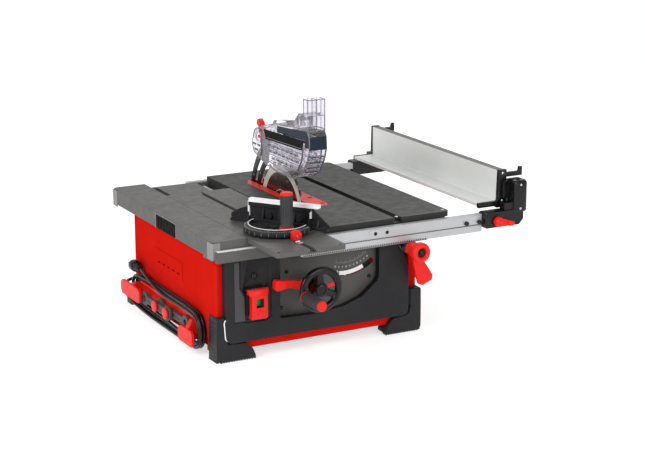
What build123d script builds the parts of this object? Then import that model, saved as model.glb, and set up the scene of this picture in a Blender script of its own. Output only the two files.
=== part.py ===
"""Portable table saw with a sliding carriage, one solid per piece, in millimetres.

+X is to the operator's right, +Y points away from the operator and +Z is up. The origin
is on the bench, at the centre of the four bench bolt holes. The carriage, the fence
rails, the guard and the mitre gauge stand where they are left in use.
"""

import math
import os

from build123d import *

os.makedirs("parts", exist_ok=True)

# ---------------------------------------------------------------- driving dimensions
TABLE_HEIGHT = 305.0
TABLE_LEFT, TABLE_RIGHT = -18.0, 364.0
TABLE_HALF_DEPTH = 320.0
TABLE_PLATE = 14.0
APRON_DEPTH = 46.0

BODY_HALF = 280.0
BODY_FRONT, BODY_REAR = -300.0, 262.0
PANEL_FRONT = -320.0
SHEET = 2.0
RING_BOTTOM, RING_TOP = 25.0, 47.0
BODY_TOP = TABLE_HEIGHT - 47.0

BLADE_X, BLADE_Y = 73.0, 42.0
BLADE_RADIUS = 127.0
BLADE_PLATE = 2.0
BLADE_TEETH = 24
CUT_HEIGHT = 85.0
ARBOR_RADIUS = 10.0
ARBOR_PULLEY, MOTOR_PULLEY = 20.0, 12.0
MOTOR_Y_OFFSET, MOTOR_Z_OFFSET = -85.0, -80.0
MOTOR_RADIUS = 45.0

TRUNNION_RADIUS = 80.0
BEVEL_SLOT_RADIUS = 130.0
WHEEL_X, WHEEL_BELOW = -36.0, 136.0

GUARD_WIDTH = 50.0
GUARD_WALL = 3.0
GUARD_PIVOT_Y, GUARD_PIVOT_ABOVE = 122.0, 142.0
KNIFE_INNER, KNIFE_OUTER = 134.0, 187.0

CARRIAGE_LEFT, CARRIAGE_RIGHT = -203.0, -22.0
CARRIAGE_FRONT, CARRIAGE_REAR = -478.0, 165.0
CARRIAGE_PLATE = 12.0
ROD_RADIUS = 7.0
ROD_BELOW = 26.0
LEFT_ROD_X, RIGHT_ROD_X = -188.0, -37.0

MITRE_X, MITRE_Y = -111.0, -297.0
MITRE_TURN = -53.3
PROTRACTOR_RADIUS = 84.0

RAIL_LEFT, RAIL_RIGHT = -72.0, 446.0
RAIL_BACK, RAIL_FACE = 328.0, 344.0
RAIL_TOP_BELOW, RAIL_BOTTOM_BELOW = 14.0, 59.0
PINION_X = 235.0
GEAR_MODULE = 1.5
PINION_TEETH = 20
FENCE_X = 506.0

CORD_RADIUS = 4.25
RUN = 0.05  # radial running clearance of a shaft in its bore

BENCH_HOLE_X, BENCH_HOLE_Y = 236.0, 214.0
BENCH_HOLE_RADIUS = 4.5


# ---------------------------------------------------------------- helpers
def below(depth):
    """The height above the bench of a place that is depth below the table top."""
    return TABLE_HEIGHT - depth


def above(height):
    """The height above the bench of a place that is height above the table top."""
    return TABLE_HEIGHT + height


def block(x0, x1, y0, y1, z0, z1, mode=Mode.ADD):
    """A box between two corners, added to the piece being built."""
    with Locations(((x0 + x1) / 2, (y0 + y1) / 2, (z0 + z1) / 2)):
        Box(x1 - x0, y1 - y0, z1 - z0, mode=mode)


def rod_x(y, z, x0, x1, radius, mode=Mode.ADD):
    """A round bar or bore along X."""
    with Locations(Location(((x0 + x1) / 2, y, z), (0, 90, 0))):
        Cylinder(radius, x1 - x0, mode=mode)


def rod_y(x, z, y0, y1, radius, mode=Mode.ADD):
    """A round bar or bore along Y."""
    with Locations(Location((x, (y0 + y1) / 2, z), (90, 0, 0))):
        Cylinder(radius, y1 - y0, mode=mode)


def rod_z(x, y, z0, z1, radius, mode=Mode.ADD):
    """A round bar or bore along Z."""
    with Locations((x, y, (z0 + z1) / 2)):
        Cylinder(radius, z1 - z0, mode=mode)


def slab_yz(points, x0, x1, mode=Mode.ADD):
    """A plate of the outline given in (Y, Z), between two places along X."""
    with BuildSketch(Plane.YZ.offset(x0)) as outline:
        Polygon(*points, align=None)
    extrude(outline.sketch, amount=x1 - x0, mode=mode)


def slab_xz(points, y0, y1, mode=Mode.ADD):
    """A plate of the outline given in (X, Z), between two places along Y."""
    with BuildSketch(Plane.XZ.offset(-y1)) as outline:
        Polygon(*points, align=None)
    extrude(outline.sketch, amount=y1 - y0, mode=mode)


def slab_xy(points, z0, z1, mode=Mode.ADD):
    """A plate of the outline given in (X, Y), between two heights."""
    with BuildSketch(Plane.XY.offset(z0)) as outline:
        Polygon(*points, align=None)
    extrude(outline.sketch, amount=z1 - z0, mode=mode)


def arc_slot_xz(centre, radius, width, start, sweep, y0, y1, mode=Mode.SUBTRACT):
    """A curved slot, round-ended, through a plate that lies in the XZ plane."""
    half = width / 2
    with BuildSketch(Plane.XZ.offset(-y1)) as slot:
        with BuildLine():
            outer = CenterArc(centre, radius + half, start, sweep)
            inner = CenterArc(centre, radius - half, start, sweep)
            Line(outer @ 0, inner @ 0)
            Line(outer @ 1, inner @ 1)
        make_face()
        with Locations(polar(centre, radius, start), polar(centre, radius, start + sweep)):
            Circle(half)
    extrude(slot.sketch, amount=y1 - y0, mode=mode)


def polar(centre, radius, degrees):
    """A point at a radius and an angle from a centre."""
    turn = math.radians(degrees)
    return (centre[0] + radius * math.cos(turn), centre[1] + radius * math.sin(turn))


def save(piece, name):
    """Label a finished piece and write it to its own STEP file."""
    piece.part.label = name
    export_step(piece.part, f"parts/{name}.step")


def save_mirrored(piece, name):
    """Write a piece and its mirror image across the saw's middle as one group."""
    with BuildPart() as pair:
        add(piece.part)
        mirror(piece.part, about=Plane.XZ)
    save(pair, name)


# ---------------------------------------------------------------- base and feet
RING_WIDTH = 24.0
RING_HALF_X = 276.0
RING_FRONT, RING_REAR = -304.0, 256.0
RING_MID_Y = (RING_FRONT + RING_REAR) / 2
RING_DEPTH_Y = RING_REAR - RING_FRONT

with BuildPart() as base_frame:
    with BuildSketch(Plane.XY.offset(RING_BOTTOM)):
        with Locations((0, RING_MID_Y)):
            RectangleRounded(2 * RING_HALF_X, RING_DEPTH_Y, 26)
            RectangleRounded(
                2 * (RING_HALF_X - RING_WIDTH), RING_DEPTH_Y - 2 * RING_WIDTH, 10, mode=Mode.SUBTRACT
            )
    extrude(amount=RING_TOP - RING_BOTTOM)
    # open underneath, like a folded channel
    with BuildSketch(Plane.XY.offset(RING_BOTTOM)):
        with Locations((0, RING_MID_Y)):
            RectangleRounded(2 * (RING_HALF_X - SHEET), RING_DEPTH_Y - 2 * SHEET, 24)
            RectangleRounded(
                2 * (RING_HALF_X - RING_WIDTH + SHEET),
                RING_DEPTH_Y - 2 * (RING_WIDTH - SHEET),
                12,
                mode=Mode.SUBTRACT,
            )
    extrude(amount=RING_TOP - RING_BOTTOM - SHEET, mode=Mode.SUBTRACT)
save(base_frame, "base_frame")

BOOT_SKIN = 6.0
BOOT_TOP = 113.0


def boot(side, front):
    """A corner boot: a low toe pad under the frame and an upright sleeve on the corner."""
    corner_x = side * BODY_HALF
    corner_y = BODY_FRONT if front else BODY_REAR - 4
    inward = 1 if front else -1
    outer_x = corner_x + side * BOOT_SKIN
    outer_y = corner_y - inward * (BOOT_SKIN + 12 if front else BOOT_SKIN)
    with BuildPart() as piece:
        # pad on the bench, with an ear inside the frame for the bench bolt
        pad_x = sorted((outer_x, side * 180))
        pad_y = sorted((outer_y, corner_y + inward * 34))
        block(*pad_x, *pad_y, 0, RING_BOTTOM)
        ear_x = sorted((side * (BENCH_HOLE_X - 18), side * 262))
        ear_y = sorted((corner_y + inward * 30, inward * -(BENCH_HOLE_Y - 16)))
        block(*ear_x, *ear_y, 0, 20)
        rod_z(side * BENCH_HOLE_X, inward * -BENCH_HOLE_Y, 0, 20, BENCH_HOLE_RADIUS, Mode.SUBTRACT)
        # sleeve on the outside of the corner
        sleeve_top = BOOT_TOP if front else RING_TOP
        side_y = sorted((outer_y, corner_y + inward * 34))
        block(*sorted((outer_x, corner_x)), *side_y, RING_BOTTOM, sleeve_top)
        front_skin = 12 if front else BOOT_SKIN
        if front:
            block(*sorted((outer_x, side * 263)), outer_y, BODY_FRONT, RING_TOP, sleeve_top)
        block(*sorted((outer_x, side * 180)), *sorted((outer_y, outer_y + inward * front_skin)),
              RING_BOTTOM, RING_TOP)
        upright = piece.edges().filter_by(Axis.Z).group_by(Axis.X)[-1 if side > 0 else 0]
        fillet(upright.sort_by(Axis.Y)[0 if front else -1], 5)
    return piece


with BuildPart() as front_feet:
    add(boot(-1, True).part)
    add(boot(1, True).part)
save(front_feet, "front_feet")

with BuildPart() as rear_feet:
    add(boot(-1, False).part)
    add(boot(1, False).part)
save(rear_feet, "rear_feet")

POST_X, POST_Y = 24.0, 38.0
with BuildPart() as corner_posts:
    for side in (-1, 1):
        outer = sorted((side * BODY_HALF, side * (BODY_HALF - POST_X)))
        hollow = sorted((side * (BODY_HALF - SHEET), side * (BODY_HALF - POST_X)))
        block(*outer, BODY_FRONT, BODY_FRONT + POST_Y, RING_TOP, BODY_TOP)
        edges = corner_posts.edges().filter_by(Axis.Z).group_by(Axis.X)[0 if side < 0 else -1]
        fillet(edges.sort_by(Axis.Y)[0], 7)
        block(
            *sorted((side * (BODY_HALF - 9), side * (BODY_HALF - POST_X))),
            BODY_FRONT + 9, BODY_FRONT + POST_Y - SHEET, RING_TOP, BODY_TOP, Mode.SUBTRACT,
        )
        block(*hollow, 150, 174, RING_TOP, BODY_TOP)
save(corner_posts, "corner_posts")

# ---------------------------------------------------------------- sheet metal cabinet
CORNER_RADIUS = 72.0
SIDE_FRONT, SIDE_REAR = BODY_FRONT + POST_Y, 188.0


def cabinet_wall():
    """The folded wall round the left, back and right of the saw, as one closed ring."""
    with BuildPart() as wall:
        with BuildSketch(Plane.XY.offset(RING_TOP)) as ring:
            with Locations((0, (BODY_FRONT + BODY_REAR) / 2)):
                RectangleRounded(2 * BODY_HALF, BODY_REAR - BODY_FRONT, CORNER_RADIUS)
                RectangleRounded(
                    2 * (BODY_HALF - SHEET), BODY_REAR - BODY_FRONT - 2 * SHEET, CORNER_RADIUS - SHEET,
                    mode=Mode.SUBTRACT,
                )
        extrude(ring.sketch, amount=BODY_TOP - RING_TOP)
    return wall.part


EMBOSS_Y, EMBOSS_BELOW = -16.0, 130.0
EMBOSS_LENGTH, EMBOSS_HEIGHT = 182.0, 50.0


def side_panel(side):
    """A side wall with a raised rectangle and a row of short vent slots."""
    with BuildPart() as piece:
        block(*sorted((side * BODY_HALF, side * (BODY_HALF - SHEET))), SIDE_FRONT, SIDE_REAR,
              RING_TOP, BODY_TOP)
        block(*sorted((side * (BODY_HALF + 1.5), side * BODY_HALF)),
              EMBOSS_Y - EMBOSS_LENGTH / 2, EMBOSS_Y + EMBOSS_LENGTH / 2,
              below(EMBOSS_BELOW + EMBOSS_HEIGHT / 2), below(EMBOSS_BELOW - EMBOSS_HEIGHT / 2))
        for step in range(-2, 3):
            slot_y = EMBOSS_Y - 5 + step * 30
            block(*sorted((side * (BODY_HALF + 3), side * (BODY_HALF - 3))),
                  slot_y - 8, slot_y + 8, below(141), below(136), Mode.SUBTRACT)
    return piece


save(side_panel(-1), "left_side_panel")
save(side_panel(1), "right_side_panel")

DUST_X, DUST_Z = 73.0, 120.0
DUST_RADIUS, DUST_BORE = 50.0, 46.0
GLAND_X, GLAND_Z = -193.0, 62.0
GLAND_BEND = 22.0
PINION_BELOW = 75.5

with BuildPart() as rear_panel:
    add(cabinet_wall())
    block(-300, 300, BODY_FRONT - 5, SIDE_REAR, 0, BODY_TOP + 5, Mode.SUBTRACT)
    rod_y(DUST_X, DUST_Z, 240, 280, DUST_BORE + 1, Mode.SUBTRACT)
    rod_y(PINION_X, below(PINION_BELOW), 180, 280, 12, Mode.SUBTRACT)
    rod_y(GLAND_X, GLAND_Z, 240, 280, 6, Mode.SUBTRACT)
    for row in range(4):
        block(-150, -60, 250, 270, 110 + row * 22, 116 + row * 22, Mode.SUBTRACT)
save(rear_panel, "rear_panel")

with BuildPart() as dust_port:
    rod_y(DUST_X, DUST_Z, BODY_REAR, BODY_REAR + 6, DUST_RADIUS + 12)
    rod_y(DUST_X, DUST_Z, BODY_REAR + 6, BODY_REAR + 62, DUST_RADIUS)
    rod_y(DUST_X, DUST_Z, BODY_REAR - 1, BODY_REAR + 63, DUST_BORE, Mode.SUBTRACT)
save(dust_port, "dust_port")

# ---------------------------------------------------------------- front panel and bevel plate
PANEL_LEFT, PANEL_RIGHT = -262.0, 246.0
PANEL_DEPTH = 20.0
PANEL_SKIN = 4.0
WINDOW_LEFT, WINDOW_RIGHT = -118.0, 161.0
SWITCH_LEFT, SWITCH_RIGHT = -214.0, -149.0
SWITCH_LOW, SWITCH_HIGH = 212.0, 118.0

with BuildSketch(Plane.XZ.offset(-PANEL_FRONT)) as panel_outline:
    with BuildLine():
        low_left = (PANEL_LEFT, below(258))
        right_bend = (PANEL_RIGHT, below(150))
        Polyline((200, below(47)), (PANEL_LEFT, below(47)), low_left, (PANEL_RIGHT, below(258)), right_bend)
        ThreePointArc(right_bend, (236, below(104)), (200, below(47)))
    make_face()

with BuildSketch(Plane.XZ.offset(-PANEL_FRONT)) as window_outline:
    with BuildLine():
        left_foot = (WINDOW_LEFT, below(214))
        right_foot = (WINDOW_RIGHT, below(152))
        Polyline(right_foot, (WINDOW_RIGHT, below(46)), (WINDOW_LEFT, below(46)), left_foot)
        ThreePointArc(left_foot, (60, below(209)), right_foot)
    make_face()

with BuildPart() as front_panel:
    extrude(panel_outline.sketch, amount=-PANEL_DEPTH)
    with BuildSketch(Plane.XZ.offset(-(PANEL_FRONT + PANEL_SKIN))):
        add(offset(panel_outline.sketch, -PANEL_SKIN, mode=Mode.PRIVATE).moved(Location((0, PANEL_SKIN, 0))))
    extrude(amount=-PANEL_DEPTH, mode=Mode.SUBTRACT)
    block(WINDOW_LEFT - 5, WINDOW_RIGHT + 5, PANEL_FRONT + PANEL_SKIN, PANEL_FRONT + PANEL_DEPTH,
          below(218), below(47))
    extrude(window_outline.sketch, amount=-PANEL_DEPTH - 1, mode=Mode.SUBTRACT)
    extrude(window_outline.sketch, amount=1, mode=Mode.SUBTRACT)
    block(SWITCH_LEFT, SWITCH_RIGHT, PANEL_FRONT - 1, PANEL_FRONT + 5, below(SWITCH_LOW),
          below(SWITCH_HIGH), Mode.SUBTRACT)
save(front_panel, "front_panel")

PLATE_FRONT, PLATE_REAR = -300.0, -297.0
BEVEL_REST = -101.5
TILT_RANGE = 45.0
TILT_CENTRE = (BLADE_X, TABLE_HEIGHT)
STUD_RADIUS = 6.0
HANDWHEEL_SHAFT = 7.0

with BuildPart() as bevel_plate:
    slab_xz(
        [(-123, below(47)), (-123, below(220)), (20, below(220)), (75, below(213)), (121, below(191)),
         (149, below(170)), (166, below(154)), (166, below(47))],
        PLATE_FRONT, PLATE_REAR,
    )
    arc_slot_xz(TILT_CENTRE, BEVEL_SLOT_RADIUS, 14, BEVEL_REST - 1.5, TILT_RANGE + 3, -302, -290)
    rod_y(WHEEL_X, below(WHEEL_BELOW), PLATE_REAR, PLATE_REAR + 14, 15)
    rod_y(WHEEL_X, below(WHEEL_BELOW), PLATE_FRONT - 1, PLATE_REAR + 15, HANDWHEEL_SHAFT + RUN, Mode.SUBTRACT)
save(bevel_plate, "bevel_plate")

# ---------------------------------------------------------------- main table
THROAT_LEFT, THROAT_RIGHT = 45.0, 131.0
THROAT_FRONT, THROAT_REAR = -123.0, 233.0
INSERT_PLATE = 3.0
SLOT_X = 213.0
SLOT_HALF = 9.5

with BuildPart() as main_table:
    block(TABLE_LEFT, TABLE_RIGHT, -TABLE_HALF_DEPTH, TABLE_HALF_DEPTH, below(TABLE_PLATE), TABLE_HEIGHT)
    corners = main_table.edges().filter_by(Axis.Z).group_by(Axis.X)[-1]
    fillet(corners, 12)
    for side in (-1, 1):
        apron = sorted((side * TABLE_HALF_DEPTH, side * (TABLE_HALF_DEPTH - 6)))
        block(TABLE_LEFT, 350, *apron, below(APRON_DEPTH), below(TABLE_PLATE))
    for rib_x in (TABLE_LEFT, 180, 256, 344):
        block(rib_x, rib_x + 6, -TABLE_HALF_DEPTH + 6, TABLE_HALF_DEPTH - 6, below(APRON_DEPTH),
              below(TABLE_PLATE))
    block(SLOT_X - 17, SLOT_X + 17, -TABLE_HALF_DEPTH, TABLE_HALF_DEPTH, below(22), below(TABLE_PLATE))
    block(SLOT_X - SLOT_HALF, SLOT_X + SLOT_HALF, -330, 330, below(9.5), above(1), Mode.SUBTRACT)
    block(SLOT_X - 12.5, SLOT_X + 12.5, -330, 330, below(12.5), below(9.5), Mode.SUBTRACT)
    with BuildSketch(Plane.XY.offset(below(INSERT_PLATE))):
        with Locations(((THROAT_LEFT + THROAT_RIGHT) / 2, (THROAT_FRONT + THROAT_REAR) / 2)):
            RectangleRounded(THROAT_RIGHT - THROAT_LEFT, THROAT_REAR - THROAT_FRONT, 20)
    extrude(amount=INSERT_PLATE + 1, mode=Mode.SUBTRACT)
    with BuildSketch(Plane.XY.offset(below(24))):
        with Locations(((THROAT_LEFT + THROAT_RIGHT) / 2, (THROAT_FRONT + THROAT_REAR) / 2 + 1)):
            RectangleRounded(THROAT_RIGHT - THROAT_LEFT - 8, THROAT_REAR - THROAT_FRONT - 6, 16)
    extrude(amount=24, mode=Mode.SUBTRACT)
save(main_table, "main_table")

INSERT_GAP = 0.4
with BuildPart() as table_insert:
    with BuildSketch(Plane.XY.offset(below(INSERT_PLATE))):
        with Locations(((THROAT_LEFT + THROAT_RIGHT) / 2, (THROAT_FRONT + THROAT_REAR) / 2)):
            RectangleRounded(
                THROAT_RIGHT - THROAT_LEFT - 2 * INSERT_GAP, THROAT_REAR - THROAT_FRONT - 2 * INSERT_GAP, 19.6
            )
    extrude(amount=INSERT_PLATE)
    block(BLADE_X - 5, BLADE_X + 9, -95, 230, below(4), above(1), Mode.SUBTRACT)
    for y in (-85, 205):
        with BuildSketch(Plane.XY.offset(below(4))):
            with Locations((112, y)):
                SlotOverall(16, 7, rotation=90)
        extrude(amount=5, mode=Mode.SUBTRACT)
save(table_insert, "table_insert")

EXTENSION_LEFT, EXTENSION_RIGHT = -294.5, -204.0
with BuildPart() as left_extension:
    block(EXTENSION_LEFT, EXTENSION_RIGHT, -TABLE_HALF_DEPTH, 315, BODY_TOP, TABLE_HEIGHT)
    fillet(left_extension.edges().filter_by(Axis.Z).group_by(Axis.X)[0], 9)
    block(EXTENSION_LEFT + 4, EXTENSION_RIGHT - 4, -TABLE_HALF_DEPTH + 4, 311, BODY_TOP, below(5),
          Mode.SUBTRACT)
    # the side skirt is shallower than the front corner, with a hand grip cut up into it
    block(EXTENSION_LEFT - 1, EXTENSION_LEFT + 10, -267, 316, below(48), below(41), Mode.SUBTRACT)
    block(EXTENSION_LEFT - 1, EXTENSION_LEFT + 5, -104, 24, below(42), below(5), Mode.SUBTRACT)
save(left_extension, "left_extension")

# ---------------------------------------------------------------- carriage bed and rods
with BuildPart() as carriage_bed:
    block(EXTENSION_RIGHT, TABLE_LEFT, -TABLE_HALF_DEPTH, TABLE_HALF_DEPTH, below(46), below(41))
    block(-170, -55, -TABLE_HALF_DEPTH, TABLE_HALF_DEPTH, below(41), below(13))
    block(-166, -59, -TABLE_HALF_DEPTH - 1, TABLE_HALF_DEPTH + 1, below(41), below(17), Mode.SUBTRACT)
    for side in (-1, 1):
        ends = sorted((side * TABLE_HALF_DEPTH, side * (TABLE_HALF_DEPTH - 12)))
        block(EXTENSION_RIGHT, TABLE_LEFT, *ends, below(46), below(13))
    for x in (LEFT_ROD_X, RIGHT_ROD_X):
        rod_y(x, below(ROD_BELOW), -TABLE_HALF_DEPTH + 2, TABLE_HALF_DEPTH - 2, ROD_RADIUS, Mode.SUBTRACT)
    block(-288, -76, -334, -TABLE_HALF_DEPTH, below(50), below(22))
save(carriage_bed, "carriage_bed")

with BuildPart() as guide_rods:
    for x in (LEFT_ROD_X, RIGHT_ROD_X):
        rod_y(x, below(ROD_BELOW), -TABLE_HALF_DEPTH + 2, TABLE_HALF_DEPTH - 2, ROD_RADIUS)
save(guide_rods, "guide_rods")

SHOE_PLACES = (-190.0, 40.0)
with BuildPart() as carriage_plate:
    block(CARRIAGE_LEFT, CARRIAGE_RIGHT, CARRIAGE_FRONT, CARRIAGE_REAR, below(CARRIAGE_PLATE), TABLE_HEIGHT)
    fillet(carriage_plate.edges().filter_by(Axis.Z), 5)
    for x in (LEFT_ROD_X, RIGHT_ROD_X):
        for y in SHOE_PLACES:
            block(x - 12, x + 12, y - 15, y + 15, below(38), below(CARRIAGE_PLATE))
            rod_y(x, below(ROD_BELOW), y - 16, y + 16, ROD_RADIUS + RUN, Mode.SUBTRACT)
    block(MITRE_X - 6.5, MITRE_X + 6.5, CARRIAGE_FRONT - 1, CARRIAGE_REAR + 1, below(4), above(1),
          Mode.SUBTRACT)
    block(MITRE_X - 10, MITRE_X + 10, CARRIAGE_FRONT - 1, CARRIAGE_REAR + 1, below(8.5), below(4),
          Mode.SUBTRACT)
save(carriage_plate, "carriage_plate")

# ---------------------------------------------------------------- mitre gauge
TANGENT = (math.cos(math.radians(MITRE_TURN)), math.sin(math.radians(MITRE_TURN)))
NORMAL = (-TANGENT[1], TANGENT[0])
KNOB_Y = MITRE_Y - 48.0
FENCE_NEAR, FENCE_FAR = 31.0, 45.0


def on_head(along, out):
    """A point of the turned mitre head, from its pivot, in the saw's (X, Y)."""
    return (
        MITRE_X + along * TANGENT[0] + out * NORMAL[0],
        MITRE_Y + along * TANGENT[1] + out * NORMAL[1],
    )


with BuildPart() as mitre_bar:
    block(MITRE_X - 6.2, MITRE_X + 6.2, -421, -190, below(4.4), below(0.2))
    block(MITRE_X - 9.6, MITRE_X + 9.6, -421, -190, below(8.2), below(4.4))
    rod_z(MITRE_X, MITRE_Y, above(0.2), above(4.6), 14)
    rod_z(MITRE_X, MITRE_Y, above(4), above(20), 6)
    rod_z(MITRE_X, KNOB_Y, below(2), above(70), 4)
    block(MITRE_X - 6, MITRE_X + 6, -404, -388, below(1), above(1.5))
save(mitre_bar, "mitre_bar")

HEAD_SLOT_RADIUS = 48.0
with BuildPart() as mitre_head:
    with BuildSketch(Plane.XY.offset(above(5))):
        with Locations((MITRE_X, MITRE_Y)):
            Circle(PROTRACTOR_RADIUS)
    extrude(amount=9)
    with BuildSketch(Plane.XY.offset(above(14))):
        with Locations((MITRE_X, MITRE_Y)):
            Circle(PROTRACTOR_RADIUS)
            Circle(PROTRACTOR_RADIUS - 14, mode=Mode.SUBTRACT)
    extrude(amount=8)
    slab_xy([on_head(-100, 22), on_head(100, 22), on_head(100, 120), on_head(-100, 120)],
            above(4), above(24), Mode.SUBTRACT)
    slab_xy([on_head(-70, 18), on_head(70, 18), on_head(70, FENCE_NEAR), on_head(-70, FENCE_NEAR)],
            above(5), above(14))
    rod_z(MITRE_X, MITRE_Y, above(4), above(16), 6 + RUN, Mode.SUBTRACT)
    with BuildSketch(Plane.XY.offset(above(4))):
        SlotArc(CenterArc((MITRE_X, MITRE_Y), HEAD_SLOT_RADIUS, -205, 124), 9.5)
    extrude(amount=12, mode=Mode.SUBTRACT)
save(mitre_head, "mitre_head")

FENCE_MID = -14.0
with BuildPart() as mitre_fence:
    fence_plane = Plane(
        origin=(*on_head(FENCE_MID, FENCE_FAR), TABLE_HEIGHT),
        x_dir=(*TANGENT, 0),
        z_dir=(-NORMAL[0], -NORMAL[1], 0),
    )
    with BuildSketch(fence_plane):
        Polygon((-148, 3), (148, 3), (148, 14), (92, 57), (-92, 57), (-148, 14), align=None)
    extrude(amount=FENCE_FAR - FENCE_NEAR)
save(mitre_fence, "mitre_fence")

with BuildPart() as mitre_rail:
    with BuildSketch(fence_plane):
        Polygon((-94, 57), (94, 57), (94, 66), (-94, 66), align=None)
    extrude(amount=FENCE_FAR - FENCE_NEAR + 2)
save(mitre_rail, "mitre_rail")

with BuildPart() as mitre_knob:
    rod_z(MITRE_X, KNOB_Y, above(14.5), above(24), 17)
    rod_z(MITRE_X, KNOB_Y, above(24), above(108), 14.5)
    fillet(mitre_knob.edges().group_by(Axis.Z)[-1], 3)
    rod_z(MITRE_X, KNOB_Y, above(14), above(72), 4 + 0.1, Mode.SUBTRACT)
save(mitre_knob, "mitre_knob")

with BuildPart() as mitre_latch:
    block(MITRE_X - 12, MITRE_X + 12, -403, -386, above(2), above(24))
    fillet(mitre_latch.edges().filter_by(Axis.Z), 3)
save(mitre_latch, "mitre_latch")

# ---------------------------------------------------------------- trunnions and tilt frame
FRONT_PLATE_Y, REAR_PLATE_Y = -162.0, 232.0
PLATE_THICK = 6.0
POST_PLACE_X = 40.0
FRONT_POST_Y, REAR_POST_Y = -136.0, 211.0
SCREW_Y = -100.0
PIN_RADIUS = 5.0
PIN_ANGLES = (-120.0, -75.0)


def tilt_point(across, down):
    """A point of the tilt frame from its axis: across to the right, down from the table."""
    return (BLADE_X + across, TABLE_HEIGHT - down)


with BuildPart() as trunnions:
    for near, far in ((-172, -164), (240, 248)):
        block(10, 172, near, far, below(102), below(TABLE_PLATE))
        arc_slot_xz(TILT_CENTRE, TRUNNION_RADIUS, 2 * (PIN_RADIUS + RUN), PIN_ANGLES[0] - 3,
                    TILT_RANGE + PIN_ANGLES[1] - PIN_ANGLES[0] + 6, near - 1, far + 1)
save(trunnions, "trunnions")

with BuildPart() as tilt_frame:
    for near in (FRONT_PLATE_Y, REAR_PLATE_Y):
        slab_xz(
            [tilt_point(-128, 49), tilt_point(0, 49), tilt_point(26, 62), tilt_point(34, 92),
             tilt_point(-8, 252), tilt_point(-45, 252), tilt_point(-60, 200), tilt_point(-128, 80)],
            near, near + PLATE_THICK,
        )
    inner_front, inner_rear = FRONT_PLATE_Y + PLATE_THICK, REAR_PLATE_Y
    for across, down in ((-115, 60), (-27, 240)):
        x, z = tilt_point(across, down)
        rod_y(x, z, inner_front, inner_rear, 7)
    for low, high in ((57, 49), (190, 182)):
        block(POST_PLACE_X - 15, POST_PLACE_X + 15, inner_front, SCREW_Y + 14, below(low), below(high))
        block(POST_PLACE_X - 15, POST_PLACE_X + 15, REAR_POST_Y - 14, inner_rear, below(low), below(high))
    for post_y in (FRONT_POST_Y, REAR_POST_Y):
        rod_z(POST_PLACE_X, post_y, below(191), below(48), 7, Mode.SUBTRACT)
    rod_z(POST_PLACE_X, SCREW_Y, below(191), below(48), 6 + RUN, Mode.SUBTRACT)
    for angle in PIN_ANGLES:
        x, z = polar(TILT_CENTRE, TRUNNION_RADIUS, angle)
        rod_y(x, z, -174, FRONT_PLATE_Y, PIN_RADIUS)
        rod_y(x, z, REAR_PLATE_Y + PLATE_THICK, 250, PIN_RADIUS)
    x, z = polar(TILT_CENTRE, BEVEL_SLOT_RADIUS, BEVEL_REST)
    rod_y(x, z, -306, FRONT_PLATE_Y, STUD_RADIUS)
save(tilt_frame, "tilt_frame")

with BuildPart() as guide_posts:
    for post_y in (FRONT_POST_Y, REAR_POST_Y):
        rod_z(POST_PLACE_X, post_y, below(190), below(49), 7)
save(guide_posts, "guide_posts")

with BuildPart() as lead_screw:
    rod_z(POST_PLACE_X, SCREW_Y, below(200), below(49.5), 6)
    with Locations((POST_PLACE_X, SCREW_Y, below(196))):
        Cone(16, 10, 10)
save(lead_screw, "lead_screw")

# ---------------------------------------------------------------- lift carriage and drive
ARBOR_BELOW = BLADE_RADIUS - CUT_HEIGHT
ARBOR_Z = below(ARBOR_BELOW)
MOTOR_Y, MOTOR_Z = BLADE_Y + MOTOR_Y_OFFSET, ARBOR_Z + MOTOR_Z_OFFSET
ARM_LEFT, ARM_RIGHT = 22.0, 54.0
KNIFE_PLATE = 2.5

with BuildPart() as lift_carriage:
    block(ARM_LEFT + 5, ARM_RIGHT, -146, 221, below(84), below(60))
    block(ARM_LEFT, ARM_RIGHT, -92, 100, below(84), below(60))
    for post_y in (FRONT_POST_Y, REAR_POST_Y):
        rod_z(POST_PLACE_X, post_y, below(102), below(59), 13)
    rod_z(POST_PLACE_X, SCREW_Y, below(96), below(59), 13)
    rod_x(BLADE_Y, ARBOR_Z, ARM_LEFT, 60, 24)
    block(ARM_RIGHT, BLADE_X - KNIFE_PLATE / 2, 178, 220, below(96), below(62))
    for post_y in (FRONT_POST_Y, REAR_POST_Y):
        rod_z(POST_PLACE_X, post_y, below(103), below(58), 7 + RUN, Mode.SUBTRACT)
    rod_z(POST_PLACE_X, SCREW_Y, below(97), below(58), 6.4, Mode.SUBTRACT)
    rod_x(BLADE_Y, ARBOR_Z, ARM_LEFT - 1, 61, ARBOR_RADIUS + RUN, Mode.SUBTRACT)
save(lift_carriage, "lift_carriage")

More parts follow.
